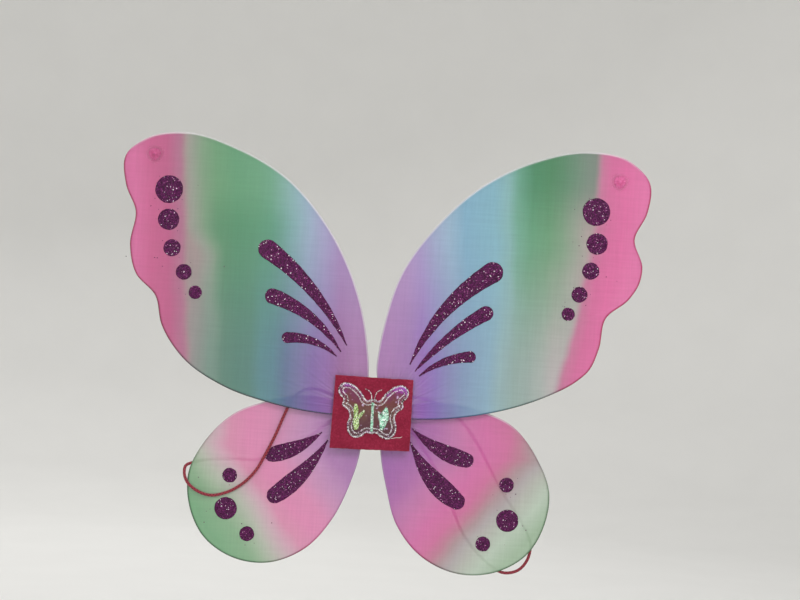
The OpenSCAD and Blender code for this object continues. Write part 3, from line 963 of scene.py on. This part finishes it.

# %% [markdown]
# ## Glitter
# Dots and drops of glitter are printed on the front of each sleeve with glue. The edge of
# such a print is never quite clean, and a few flecks land beside it. A mask in the nylon's
# material could show them, but a print stands proud of the cloth and hides it. So each
# shape is lofted flat, roughened at its edge, and then laid on the nylon, where it follows
# the same folds. The flecks of colour are cells of a Voronoi pattern, each with a random
# shade, and the brightest few are painted white as glints.

# %% Glitter finish
def make_sparkle_group():
    """Random cells: a share from 0 to 1 for each fleck, and a normal that tilts with it."""
    tree, given, out = group_of(
        "sparkle_flecks",
        [("Flecks per Metre", "Float"), ("Tilt", "Float")],
        [("Chance", "Float"), ("Normal", "Vector")],
    )
    cells = put(
        tree, "ShaderNodeTexVoronoi", Vector=here(tree), Scale=given.outputs["Flecks per Metre"]
    ).outputs["Color"]
    _, chance, _ = put(tree, "ShaderNodeSeparateColor", Color=cells).outputs
    centred = put(tree, "ShaderNodeVectorMath", {"operation": "SUBTRACT"}, n0=cells,
                  n1=(0.5, 0.5, 0.5)).outputs[0]
    tilt = put(tree, "ShaderNodeVectorMath", {"operation": "SCALE"}, n0=centred,
               Scale=given.outputs["Tilt"]).outputs[0]
    face = put(tree, "ShaderNodeNewGeometry").outputs["Normal"]
    leaning = put(tree, "ShaderNodeVectorMath", {"operation": "ADD"}, n0=face, n1=tilt)
    straight = put(tree, "ShaderNodeVectorMath", {"operation": "NORMALIZE"},
                   n0=leaning.outputs[0])
    tree.links.new(chance, out.inputs["Chance"])
    tree.links.new(straight.outputs[0], out.inputs["Normal"])
    return tree


sparkle = make_sparkle_group()


def make_glitter():
    material, tree, shader = finish_of("glitter_plum", Roughness=0.42, Specular_IOR_Level=0.2)
    flecks = put(
        tree, "ShaderNodeGroup", {"node_tree": sparkle}, Flecks_per_Metre=1350.0, Tilt=0.9
    ).outputs
    # Plum glitter in random shades; the brightest one or two percent of the cells are near white,
    # as painted glints.
    colour = ramp(tree, flecks["Chance"], [
        (0.0, "2a0422"), (0.35, "43083a"), (0.65, "560d4a"), (0.88, "661659"),
        (0.96, "7f2e6d"), (0.982, "b46a9c"), (0.989, "f6dcec"), (1.0, "ffffff"),
    ])
    tree.links.new(colour, shader.inputs["Base Color"])
    tree.links.new(flecks["Normal"], shader.inputs["Normal"])
    return material


glitter = make_glitter()
print("glitter: ready")

# %% Places of the prints, in millimetres with x counted outwards
LARGEST_DOT = {"upper": 12.6, "lower": 10.2}
# Each dot: x, z and its share of the largest dot's radius.
DOTS = {
    ("right", "upper"): [
        (193.2, 195, 1), (195.5, 166, 0.77), (191, 141, 0.62), (182, 119, 0.57),
        (172.8, 100.5, 0.48),
    ],
    ("left", "upper"): [
        (196.6, 193.5, 1), (195.5, 166, 0.77), (191, 140.3, 0.62), (179, 119, 0.57),
        (167.6, 101, 0.48),
    ],
    ("right", "lower"): [(126, -58.5, 0.66), (128.5, -91, 1), (107.5, -113.5, 0.67)],
    ("left", "lower"): [(127, -64, 0.66), (129, -94.3, 1), (108.4, -116.5, 0.67)],
}
# Each drop: pointed end, middle of the round end, sideways bow, radius, fullness, belly.
DROPS = {
    ("right", "upper"): [
        ((31.5, 46.5), (102, 134.5), 9, 9.6, 0.75, 0),
        ((36.5, 40.5), (98, 97), 4, 6.8, 0.7, 0),
        ((40.5, 36.5), (86, 56.5), 4, 5.2, 0.65, 0),
    ],
    ("left", "upper"): [
        ((27, 60.5), (103.7, 144), 7.5, 8.8, 0.75, 0),
        ((32, 54.5), (96.7, 101.5), 7, 7.2, 0.7, 0),
        ((35.5, 50), (81.4, 64.7), 5.2, 5.1, 0.65, 0),
    ],
    ("right", "lower"): [
        ((37, -12), (88, -38), -4, 6.7, 0.7, 2.2),
        ((36, -24), (81.5, -76), -5, 7.4, 0.7, 3.6),
    ],
    ("left", "lower"): [
        ((45, -20), (89.5, -43), -3, 6.7, 0.7, 2),
        ((39, -26), (85, -80), -4, 7.3, 0.7, 2.5),
    ],
}
print("prints on the right upper wing:", len(DOTS["right", "upper"]), "dots and",
      len(DROPS["right", "upper"]), "drops")

# %% Shapes of the prints
PRINT_HALF = 0.14 * MM
PRINT_LIFT = 0.03 * MM
ROUGH_EDGE = 0.35 * MM


def printed_on(bm, side, tier):
    """Roughen a flat shape's edge and lay it on the front of the nylon."""
    for v in bm.verts:
        here_now = Vector((v.co.x, 0, v.co.z))
        x, _, z = noise.noise_vector(here_now * 420) * ROUGH_EDGE
        proud = PRINT_HALF + PRINT_LIFT - v.co.y
        v.co = front_of(side, tier, here_now + Vector((x, 0, z)), proud)
    bmesh.ops.recalc_face_normals(bm, faces=bm.faces)
    return bm


def dot_shape(side, x, z, radius):
    """A round print: a low button with a rounded edge."""
    centre = placed(side, x, 0, z)
    profile = [(0, -1), (0.45, -1), (0.8, -0.98), (0.94, -0.8), (1, 0), (0.94, 1), (0, 1)]
    turns = [math.tau * j / 44 for j in range(44)]
    rings = [
        [
            centre + Vector((share * radius * MM * math.cos(a), h * PRINT_HALF,
                             share * radius * MM * math.sin(a)))
            for a in turns
        ]
        for share, h in profile
    ]
    return closed_up(lofted(rings))


def drop_shape(side, tip, end, bow, radius, fullness, belly):
    """A print that widens along a bowed line from a point to a round end."""
    tip, end = Vector(tip), Vector(end)
    along = (end - tip).normalized()
    control = (tip + end) / 2 + 2 * bow * Vector((-along.y, along.x))
    line, widths = [], []
    steps = 32
    for k in range(steps + 1):
        t = k / steps
        line.append((1 - t) ** 2 * tip + 2 * t * (1 - t) * control + t * t * end)
        # This curve is at its highest, 1, two thirds of the way along.
        swell = 6.75 * t * t * (1 - t)
        widths.append(max(0.5, radius * t**fullness + belly * swell))
    last = (end - control).normalized()
    for k in range(1, 10):
        a = math.pi / 2 * k / 9
        line.append(end + last * radius * math.sin(a))
        widths.append(max(0.15, radius * math.cos(a)))
    points = [placed(side, p.x, 0, p.y) for p in line]
    return tube(points, [w * MM for w in widths], 14, PRINT_HALF)


trial = drop_shape("right", *DROPS["right", "upper"][0])
print("a drop's faces:", len(trial.faces))
trial.free()

# %% Print the glitter
# Stray flecks on each wing, and how far they fall beyond a dot's edge, in millimetres.
FLECKS = {"upper": 22, "lower": 10}
FLECK_SPREAD = 9


def flecks_near(side, places, count, seed):
    """Stray flecks of glitter round the prints."""
    random.seed(seed)
    parts = []
    for _ in range(count):
        x, z, radius = random.choice(places)
        angle = random.uniform(0, math.tau)
        off = radius + random.expovariate(1 / FLECK_SPREAD) + 1
        spot = placed(side, x + off * math.cos(angle), 0, z + off * math.sin(angle))
        fleck = bmesh.new()
        bmesh.ops.create_icosphere(
            fleck, subdivisions=1, radius=random.uniform(0.3, 0.55) * MM,
            matrix=Matrix.Translation(spot) @ Matrix.Diagonal((1, 0.2, 1, 1)),
        )
        parts.append(fleck)
    return parts


def print_glitter(side, tier):
    places = [(x, z, share * LARGEST_DOT[tier]) for x, z, share in DOTS[side, tier]]
    dots = [dot_shape(side, *place) for place in places]
    seed = 31 + TIERS.index(tier) * 2 + SIDES.index(side)
    dots += flecks_near(side, places, FLECKS[tier], seed)
    drops = [drop_shape(side, *drop) for drop in DROPS[side, tier]]
    for kind, parts in (("dots", dots), ("drops", drops)):
        bm = printed_on(joined(parts), side, tier)
        piece = finished(bm, f"glitter_{kind}_{side}_{tier}", glitter)
        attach(piece, f"{side}_{tier}_wing")
        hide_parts(f"{side}_{tier}_{kind}")
        print(piece.name, len(piece.data.polygons), "faces")


for side in SIDES:
    for tier in TIERS:
        print_glitter(side, tier)

# %% [markdown]
# ## Gathered tips
# The outer end of each upper sleeve is pulled together and knotted on the front, which
# leaves a small button with folds running into it. It could be pulled out of the sleeve's
# own mesh, but that is too coarse there, so it is lofted like a dot, high in the middle,
# and its skirt fades into the sleeve.

# %% Knot the tips
TIP = {"right": (213, 223.5), "left": (211.5, 225)}
TIP_PROFILE = [
    (0, 2.15), (0.8, 2.1), (1.6, 1.85), (2.3, 1.3), (2.9, 0.8), (3.8, 0.62), (5, 0.5),
    (6.4, 0.34), (8, 0.16), (9.6, -0.1),
]


def make_tip_knot(side):
    count, rings = 66, []
    tip_x, tip_z = TIP[side]
    for reach, height in TIP_PROFILE:
        ring = []
        for j in range(count):
            a = math.tau * j / count
            folds = math.sin(11 * a + 0.7) + 0.6 * math.sin(7 * a + 2.1)
            high = height + 0.3 * folds * math.exp(-(((reach - 4.2) / 2.2) ** 2))
            wide = reach * (1 + 0.05 * math.sin(3 * a))
            p = placed(side, tip_x + wide * math.cos(a), 0, tip_z + wide * math.sin(a))
            ring.append(front_of(side, "upper", p, max(high, -0.1) * MM))
        rings.append(ring)
    centre = sum(rings[-1], Vector()) / count
    bm = lofted([*rings, [centre] * count])
    painted_shade, cover = (bm.verts.layers.float.new(name) for name in ("rim_painted_shade", "cover"))
    bm.verts.index_update()
    for v in bm.verts:
        ring = min(v.index // count, len(TIP_PROFILE) - 1)
        # Painted shade on the button's steep side, on rings two to four.
        v[painted_shade] = 0.22 if 2 <= ring <= 4 else 0.0
        v[cover] = max(0, min(0.97, 1.5 - TIP_PROFILE[ring][0] / 5.5))
    closed_up(bm)
    cloth = make_nylon(side, "upper", f"nylon_knot_{side}", "cover")
    knot = finished(bm, f"gathered_tip_{side}", cloth)
    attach(knot, f"{side}_upper_wing")
    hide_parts(f"{side}_upper_tip_knot")
    return knot


print("tips:", [make_tip_knot(side).name for side in SIDES])

# %% [markdown]
# ## The hub under the patches
# Each wire's two ends are tied side by side with thread, and one binding is wound round
# all four roots. Two lumps of hot glue hold the felt squares to it. None of this shows
# from the front, but it does from the side and when the wings are folded. A striped box
# would do from afar, but real turns of thread have round backs with gaps between them. A
# winding is a line that goes round and round a rounded box, so one function makes all
# five.

# %% Twisted thread
def make_thread():
    material, tree, shader = finish_of("thread_white", Roughness=0.6, Sheen_Weight=0.3)
    place = put(tree, "ShaderNodeTexCoord").outputs["UV"]
    along = put(tree, "ShaderNodeSeparateXYZ", Vector=place).outputs
    twist = sum_of(tree, "MULTIPLY_ADD", along[0], 1 / (0.9 * MM), along[1])
    ply = sum_of(tree, "PINGPONG", twist, 0.5)
    # The colour follows the twist, as painted shade between the plies and painted light on their
    # crowns.
    colour = ramp(tree, ply, [(0.0, "b9b4b3"), (0.3, "e4e0dd"), (0.5, "efece8")])
    tree.links.new(colour, shader.inputs["Base Color"])
    bumped(tree, shader, ply, 0.0002)
    return material


thread = make_thread()
print("thread: ready")

# %% Wind the ties and the binding
TIE_THREAD_RADIUS = 0.2 * MM
BINDING_THREAD_RADIUS = 0.27 * MM


def winding(low, high, turns, radius, squareness, slant=0.0):
    """Thread wound round a box along X. squareness 1 is an oval, and more is boxier."""
    middle_y, middle_z = (low.y + high.y) / 2, (low.z + high.z) / 2
    half_y, half_z = (high.y - low.y) / 2 - radius, (high.z - low.z) / 2 - radius
    steps = 28 * turns
    line = []
    for k in range(steps + 1):
        a = math.tau * turns * k / steps
        c, s = math.cos(a), math.sin(a)
        x = low.x + radius + (high.x - low.x - 2 * radius) * k / steps
        line.append(Vector((
            x + slant * s,
            middle_y + half_y * math.copysign(abs(c) ** (1 / squareness), c),
            middle_z + half_z * math.copysign(abs(s) ** (1 / squareness), s),
        )))
    return tube(line, radius, 7)


def wind_tie(side, tier):
    node = f"{side}_{tier}_tie"
    turns = winding(*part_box(node), 5, TIE_THREAD_RADIUS, 1.4)
    tie = finished(turns, f"thread_tie_{side}_{tier}", thread)
    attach(tie, f"{side}_{tier}_wing")
    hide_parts(node)
    return tie


def wind_binding():
    low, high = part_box("centre_binding")
    deeper = Vector((0.2, 0.5, 0.5)) * MM
    radius = BINDING_THREAD_RADIUS
    layers = [
        winding(low, high, 15, radius, 2.2),
        winding(low + deeper, high - deeper, 11, radius, 2.2, slant=0.5 * MM),
    ]
    binding = finished(joined(layers), "thread_binding", thread)
    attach(binding, "centre")
    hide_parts("centre_binding")
    return binding


ties = [wind_tie(side, tier) for side in SIDES for tier in TIERS]
print("windings:", [t.name for t in ties], wind_binding().name)

# %% Hot glue
def make_glue():
    material, tree, shader = finish_of(
        "hot_glue", Roughness=0.28, Subsurface_Weight=0.3, Subsurface_Scale=0.004
    )
    cloud = put(tree, "ShaderNodeTexNoise", Vector=here(tree), Scale=160.0, Detail=3.0)
    colour = ramp(tree, cloud.outputs[0], [(0.3, "cfc8b4"), (0.7, "e9e4d6")])
    tree.links.new(colour, shader.inputs["Base Color"])
    bumped(tree, shader, cloud.outputs[0], 0.0008, 0.4)
    return material


def make_glue_lump(where, material):
    node = f"glue_block_{where}"
    low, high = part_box(node)
    bm = bmesh.new()
    size = high - low
    bmesh.ops.create_cube(
        bm, size=1, matrix=Matrix.Translation((low + high) / 2) @ Matrix.Diagonal((*size, 1))
    )
    bmesh.ops.subdivide_edges(bm, edges=bm.edges, cuts=9, use_grid_fill=True)
    for _ in range(6):
        bmesh.ops.smooth_vert(
            bm, verts=bm.verts, factor=0.5, use_axis_x=True, use_axis_y=False, use_axis_z=True
        )
    for v in bm.verts:
        swell = noise.noise(v.co * 420) * 0.6 * MM
        out = Vector((v.co.x, 0, v.co.z - (low.z + high.z) / 2))
        if out.length > 1e-6:
            v.co += out.normalized() * swell
    lump = finished(bm, f"glue_lump_{where}", material)
    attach(lump, "centre")
    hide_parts(node)
    return lump


glue = make_glue()
print("glue:", [make_glue_lump(where, glue).name for where in ("top", "bottom")])

# %% [markdown]
# ## Felt patches
# Two squares of red felt are cut by hand, so no side is quite straight. Felt has no
# weave: it is a mat of fibres with a fuzzy skin. Each square is modelled as two halves
# that meet in the middle, a left one and a right one. They lie flat, so there is nothing
# to simulate: a grid is cut, thickened by an extrusion and softened along its edges.

# %% Felt finish
def make_felt():
    material, tree, shader = finish_of(
        "felt_red", Roughness=0.92, Sheen_Weight=0.35, Specular_IOR_Level=0.15
    )
    place = here(tree)
    mat = put(tree, "ShaderNodeTexNoise", Vector=place, Scale=520.0, Detail=6.0, Roughness=0.7)
    patchy = put(tree, "ShaderNodeTexNoise", Vector=place, Scale=55.0, Detail=3.0)
    tone = sum_of(tree, "MULTIPLY_ADD", patchy.outputs[0], 0.45, mat.outputs[0])
    colour = ramp(tree, tone, [(0.45, "6b0e27"), (0.72, "841734"), (0.95, "9c2c48")])
    tree.links.new(colour, shader.inputs["Base Color"])
    bumped(tree, shader, mat.outputs[0], 0.0007, 0.7)
    return material


felt = make_felt()
print("felt: ready")

# %% Cloth cut on a grid
def cut_cloth(side, low, high, y, thickness, cell, outline=None):
    """Half a piece of cloth, from the middle outwards, cut to a box or an outline."""
    wide, tall = high[0], high[1] - low[1]
    columns, rows = round(wide / cell), round(tall / cell)
    bm = bmesh.new()
    middle_of = Vector((SIGN[side] * wide / 2, y, (low[1] + high[1]) / 2))
    bmesh.ops.create_grid(
        bm, x_segments=columns, y_segments=rows, size=0.5,
        matrix=Matrix.Translation(middle_of)
        @ Matrix.Rotation(math.pi / 2, 4, "X")
        @ Matrix.Diagonal((wide, tall, 1, 1)),
    )
    if outline:
        beyond = [f for f in bm.faces if not within(f.calc_center_median(), outline)]
        bmesh.ops.delete(bm, geom=beyond, context="FACES")
        for v in {v for e in bm.edges if e.is_boundary for v in e.verts}:
            if abs(v.co.x) > 1e-6:
                near = min(outline, key=lambda p: (p.x - v.co.x) ** 2 + (p.z - v.co.z) ** 2)
                v.co.x, v.co.z = near.x, near.z
    grown = bmesh.ops.extrude_face_region(bm, geom=bm.faces[:])["geom"]
    moved = [g for g in grown if isinstance(g, bmesh.types.BMVert)]
    bmesh.ops.translate(bm, verts=moved, vec=(0, thickness, 0))
    bmesh.ops.recalc_face_normals(bm, faces=bm.faces)
    for edge in bm.edges:
        # The halves meet here, and a sharp edge keeps the seam from showing.
        edge.smooth = max(abs(v.co.x) for v in edge.verts) > 1e-6
    return bm


def within(point, outline):
    """True if a point lies inside a closed outline, seen from the front."""
    found = False
    for a, b in zip(outline, outline[1:] + outline[:1]):
        if (a.z > point.z) != (b.z > point.z):
            if point.x < a.x + (point.z - a.z) / (b.z - a.z) * (b.x - a.x):
                found = not found
    return found


print("cloth cutter: ready")

# %% Cut the patches
FELT_CELL = 1.1 * MM
FELT_EDGE = 0.35 * MM
# How uneven the felt is along its edges and across its face, in millimetres.
RAGGED, BUMPY = 0.28, 0.1
# How far each hand-cut corner is off: outwards and up, in millimetres.
CORNERS = {
    "left": {"top": (-1.0, 0.5), "bottom": (0.8, -0.3)},
    "right": {"top": (-1.0, -0.3), "bottom": (-0.8, 0.7)},
}


def make_patch_half(side, node):
    low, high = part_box(node)
    bm = cut_cloth(side, (0, low.z), (high.x, high.z), low.y, high.y - low.y, FELT_CELL)
    edges = [
        e for e in bm.edges
        if e.calc_face_angle(0) > 1 and max(abs(v.co.x) for v in e.verts) > 1e-6
    ]
    bmesh.ops.bevel(
        bm, geom=edges, offset=FELT_EDGE, segments=2, profile=0.5, affect="EDGES", material=-1
    )
    for v in bm.verts:
        outwards, up = v.co.x / high.x * SIGN[side], (v.co.z + high.z) / (2 * high.z)
        (tx, tz), (bx, bz) = CORNERS[side]["top"], CORNERS[side]["bottom"]
        v.co.x += SIGN[side] * outwards * (tx * up + bx * (1 - up)) * MM
        v.co.z += outwards * (tz * up + bz * (1 - up)) * MM
        ragged = noise.noise_vector(v.co * 260)
        soft = min(1, abs(v.co.x) / (2 * MM))
        v.co += Vector((RAGGED * soft * ragged.x, BUMPY * ragged.y, RAGGED * ragged.z)) * MM
    half = finished(bm, f"felt_{node}_{side}", felt)
    bend_across(half)
    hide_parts(node)
    return half


for side in SIDES:
    front = make_patch_half(side, "front_patch")
    back = make_patch_half(side, "back_patch")
    print(front.name, len(front.data.polygons), "and", back.name, len(back.data.polygons))

# %% [markdown]
# ## The butterfly applique
# The badge is a bought applique: a dark backing, a crinkled iridescent film over it, and
# machine stitching in speckled thread, whose palest and darkest specks are painted glints
# and reflections. Rows of zigzag follow the edge, satin bars fill the lower wings, and a
# column of stitches makes the body. A picture of stitches would look flat from the side,
# so they are real threads here, and their ridges catch the light.
# Like the patch, all of it is made in halves, apart from the body in the middle.

# %% Outline of the butterfly's right half
BUTTERFLY = [
    (0, 14), (5, 12), (11, 19), (19, 25.5), (27, 27), (32, 22), (31, 16), (27, 12), (28, 7),
    (22.5, 2.5), (20.5, -3), (22.5, -10), (21.5, -17), (15.5, -22.5), (9, -21), (4, -17.5),
    (0, -18.5),
]
backing_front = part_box("applique_backing")[0].y
film_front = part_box("applique_film")[0].y
stitch_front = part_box("applique_outline")[0].y
bar_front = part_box("applique_bars")[0].y


def butterfly_edge(side, inset, step=0.5):
    """The edge of one half, moved inwards, from the head to the tail."""
    edge = smooth_line([placed(side, x, 0, z) for x, z in BUTTERFLY], step * MM)
    moved = []
    for i in range(1, len(edge) - 1):
        along = (edge[i + 1] - edge[i - 1]).normalized()
        p = edge[i] + SIGN[side] * inset * MM * Vector((along.z, 0, -along.x))
        if SIGN[side] * p.x > 0.2 * MM:
            moved.append(p)
    return moved


def closed_half(edge):
    """The same edge closed down the middle."""
    top, tail = edge[0], edge[-1]
    return [Vector((0, 0, top.z)), *edge, Vector((0, 0, tail.z))]


print("butterfly edge, mm:", round(length_of(butterfly_edge("right", 0)) / MM))

# %% Finishes of the applique
def make_film():
    material, tree, shader = finish_of(
        "film_iridescent", Roughness=0.28, Metallic=0.3, Coat_Weight=0.3, Coat_Roughness=0.15
    )
    place = here(tree)
    crinkle = put(tree, "ShaderNodeTexNoise", Vector=place, Scale=330.0, Detail=3.0)
    broad = put(tree, "ShaderNodeTexNoise", Vector=place, Scale=120.0, Detail=2.0)
    _, _, z = put(tree, "ShaderNodeSeparateXYZ", Vector=place).outputs
    shifted = sum_of(tree, "MULTIPLY_ADD", broad.outputs[0], 0.5, -0.25)
    height = sum_of(tree, "MULTIPLY_ADD", z, 1 / 0.052, 0.45)
    tone = sum_of(tree, "ADD", height, shifted)
    colour = ramp(tree, tone, [
        (0.0, "4e2634"), (0.25, "562934"), (0.45, "653f38"), (0.65, "682e2f"),
        (0.82, "702650"), (0.93, "9a35a6"), (1.0, "8450c4"),
    ])
    glint = eased(tree, crinkle.outputs[0], 0.62, 0.72)
    colour = mixed(tree, glint, colour, rgb("c9b0d2"))
    tree.links.new(colour, shader.inputs["Base Color"])
    bumped(tree, shader, crinkle.outputs[0], 0.0012, 0.8)
    return material


def make_stitching(name, stops, metallic):
    """Metallic thread: short flecks of different shades along it, the palest painted glints and
    the darkest painted reflections.
    """
    material, tree, shader = finish_of(name, Roughness=0.34, Metallic=metallic)
    flecks = put(
        tree, "ShaderNodeGroup", {"node_tree": sparkle}, Flecks_per_Metre=1300.0, Tilt=0.5
    ).outputs
    tree.links.new(ramp(tree, flecks["Chance"], stops), shader.inputs["Base Color"])
    tree.links.new(flecks["Normal"], shader.inputs["Normal"])
    return material


def make_backing_cloth():
    material, tree, shader = finish_of("applique_cloth", Roughness=0.85)
    place = here(tree)
    weave = put(tree, "ShaderNodeTexNoise", Vector=place, Scale=700.0, Detail=3.0)
    colour = ramp(tree, weave.outputs[0], [(0.35, "3a1424"), (0.65, "5c2438")])
    tree.links.new(colour, shader.inputs["Base Color"])
    bumped(tree, shader, weave.outputs[0], 0.0003)
    return material


film, backing_cloth = make_film(), make_backing_cloth()
# In each thread, the near-white flecks are painted glints and the darkest ones painted
# reflections; the shades between are the thread's own colour.
silver_thread = make_stitching("stitch_silver", [
    (0.0, "12070d"), (0.34, "2a1620"), (0.4, "a79fa6"), (0.48, "f2eef1"), (0.9, "ffffff"),
    (0.96, "e0a6e0"),
], 0.0)
mint_thread = make_stitching("stitch_mint", [
    (0.0, "1f3a2e"), (0.2, "3d7358"), (0.34, "86d6b0"), (0.6, "b4f0d4"), (0.85, "ffffff"),
], 0.0)
lime_thread = make_stitching("stitch_lime", [
    (0.0, "2e3f18"), (0.2, "55702c"), (0.34, "93b44a"), (0.6, "bcdc80"), (0.85, "f6ffe6"),
], 0.0)
print("applique finishes: ready")

# %% Stitches
STITCH_RADIUS, SATIN_RADIUS = 0.33 * MM, 0.28 * MM


def zigzag(line, pitch, width, front):
    """A zigzag of thread along a line, lying at one depth."""
    steps = evenly(line, pitch * MM / 2)
    places, last = [], len(steps) - 1
    for i, p in enumerate(steps):
        along = (steps[min(i + 1, last)] - steps[max(i - 1, 0)]).normalized()
        aside = Vector((-along.z, 0, along.x)) * (width * MM / 2) * (1 if i % 2 else -1)
        places.append(Vector((p.x, front + STITCH_RADIUS, p.z)) + aside)
    return evenly(places, 0.6 * MM)


def satin(start, end, widths, front, pitch=0.62):
    """A padded bar of close stitches that runs from start to end, widest in the middle."""
    steps = evenly([start, end], pitch * MM / 2)
    along = (end - start).normalized()
    aside = Vector((-along.z, 0, along.x))
    places = []
    for i, p in enumerate(steps):
        t = i / (len(steps) - 1)
        wide = np.interp(t, np.linspace(0, 1, len(widths)), widths) * MM
        dome = 0.3 * MM * math.sin(math.pi * t)
        places.append(Vector((p.x, front, p.z)) + aside * wide * (1 if i % 2 else -1))
        places.append(Vector((p.x, front - dome, p.z)) + along * pitch * MM / 4)
    return evenly(places, 0.8 * MM)


row = zigzag([Vector((0, 0, 0)), Vector((10 * MM, 0, 0))], 1.4, 1.7, 0)
print("thread in 10 mm of zigzag, mm:", round(length_of(row) / MM, 1))

# %% Backing and film
BACKING_THICK, FILM_THICK = 0.45 * MM, 0.25 * MM
APPLIQUE_CELL = 0.9 * MM
FILM_INSET = 1.0
FILM_CRINKLE = 0.09 * MM


def bend_applique(piece, node):
    """Bake a half of the applique into its mesh, and hide the CAD node it stands for, if any."""
    bend_across(piece)
    if node:
        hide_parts(node)
    return piece


def make_applique_half(side):
    edge = butterfly_edge(side, 0)
    box_low, box_high = (0, -23.5 * MM), (33 * MM, 28 * MM)
    cloth = cut_cloth(side, box_low, box_high, backing_front, BACKING_THICK, APPLIQUE_CELL,
                      closed_half(edge))
    cloth = finished(cloth, f"applique_cloth_{side}", backing_cloth)
    bend_applique(cloth, "applique_backing")
    top = cut_cloth(side, box_low, box_high, film_front, FILM_THICK, APPLIQUE_CELL,
                    closed_half(butterfly_edge(side, FILM_INSET)))
    for v in top.verts:
        v.co.y += FILM_CRINKLE * noise.noise(v.co * 300)
    top = finished(top, f"applique_film_{side}", film)
    bend_applique(top, "applique_film")
    return cloth, top


# %% Stitch the edge, the bars and the antennae
# Each row along the edge, in millimetres: inset, pitch, width and depth, and then how many
# points of the edge's line it steps over.
EDGE_ROWS = [(0.7, 1.4, 1.7, -0.1, 1), (4.2, 1.6, 1.3, -0.05, 1), (1.9, 3.4, 1.6, 0.15, 3)]
# Each bar: start, end, and its half widths on the way.
BARS = {
    "left": [
        ((15.5, 8), (14, -15), (1.4, 2.5, 2.0, 3.0, 3.2, 2.0)),
        ((7.5, 2.5), (13, -5), (1.0, 1.8, 1.6)),
    ],
    "right": [
        ((12.5, 6), (9, -14), (1.4, 3.2, 4.4, 4.0, 3.0, 1.6)),
        ((5.5, 2), (8, -7), (0.8, 1.6, 1.2)),
    ],
}
BAR_THREAD = {"left": lime_thread, "right": mint_thread}
ANTENNA = [(1.5, 13.5), (1.8, 17), (4, 20.5), (7.5, 22.2)]


def stitch_outline(side):
    rows = [
        zigzag(butterfly_edge(side, inset)[::skip], pitch, width, stitch_front + depth * MM)
        for inset, pitch, width, depth, skip in EDGE_ROWS
    ]
    bm = joined([tube(row, STITCH_RADIUS, 5) for row in rows])
    piece = finished(bm, f"stitched_edge_{side}", silver_thread)
    return bend_applique(piece, "applique_outline")


def stitch_bars(side):
    front = bar_front + 0.35 * MM
    parts = []
    for (x, z), (end_x, end_z), widths in BARS[side]:
        start, end = placed(side, x, 0, z), placed(side, end_x, 0, end_z)
        parts.append(tube(satin(start, end, widths, front), SATIN_RADIUS, 5))
    piece = finished(joined(parts), f"stitched_bars_{side}", BAR_THREAD[side])
    return bend_applique(piece, "applique_bars")


def stitch_antenna(side):
    depth = middle("applique_antennae").y
    line = smooth_line([placed(side, x, depth, z) for x, z in ANTENNA], 0.6 * MM)
    radii = [0.42 * MM * (1 - 0.35 * i / len(line)) for i in range(len(line))]
    piece = finished(tube(line, radii, 8), f"stitched_antenna_{side}", silver_thread)
    return bend_applique(piece, "applique_antennae")


for side in SIDES:
    halves = make_applique_half(side)
    rest = [stitch_outline(side), stitch_bars(side), stitch_antenna(side)]
    print([p.name for p in (*halves, *rest)])

# %% Body and the loose end
# The loose end: x, z and how far it stands off the backing.
LOOSE_END = [
    (16, -21, 0), (19.5, -21.2, 0.4), (23, -20.4, 0.9), (26.5, -20.2, 0.5), (28, -19.4, 0.2),
]


def stitch_body():
    """A column of zigzag down the middle, over two padding threads."""
    low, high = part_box("applique_body")
    line = [Vector((0, 0, high.z + 5 * MM)), Vector((0, 0, low.z - 1 * MM))]
    front = low.y + 0.1 * MM
    rows = [tube(zigzag(line, 1.1, 2.8, front), STITCH_RADIUS, 5)]
    for x in (-0.7, 0.7):
        pad = [p + Vector((x * MM, front + 0.5 * MM, 0)) for p in evenly(line, 1 * MM)]
        rows.append(tube(pad, 0.35 * MM, 6))
    body = finished(joined(rows), "stitched_body", mint_thread)
    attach(body, "centre")
    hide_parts("applique_body")
    return body


def leave_loose_end():
    """The machine's thread was cut long at the lower right."""
    line = [Vector((x * MM, backing_front - off * MM, z * MM)) for x, z, off in LOOSE_END]
    piece = finished(tube(smooth_line(line, 0.5 * MM), 0.24 * MM, 7), "loose_thread_end", thread)
    return bend_applique(piece, None)


print(stitch_body().name, leave_loose_end().name)
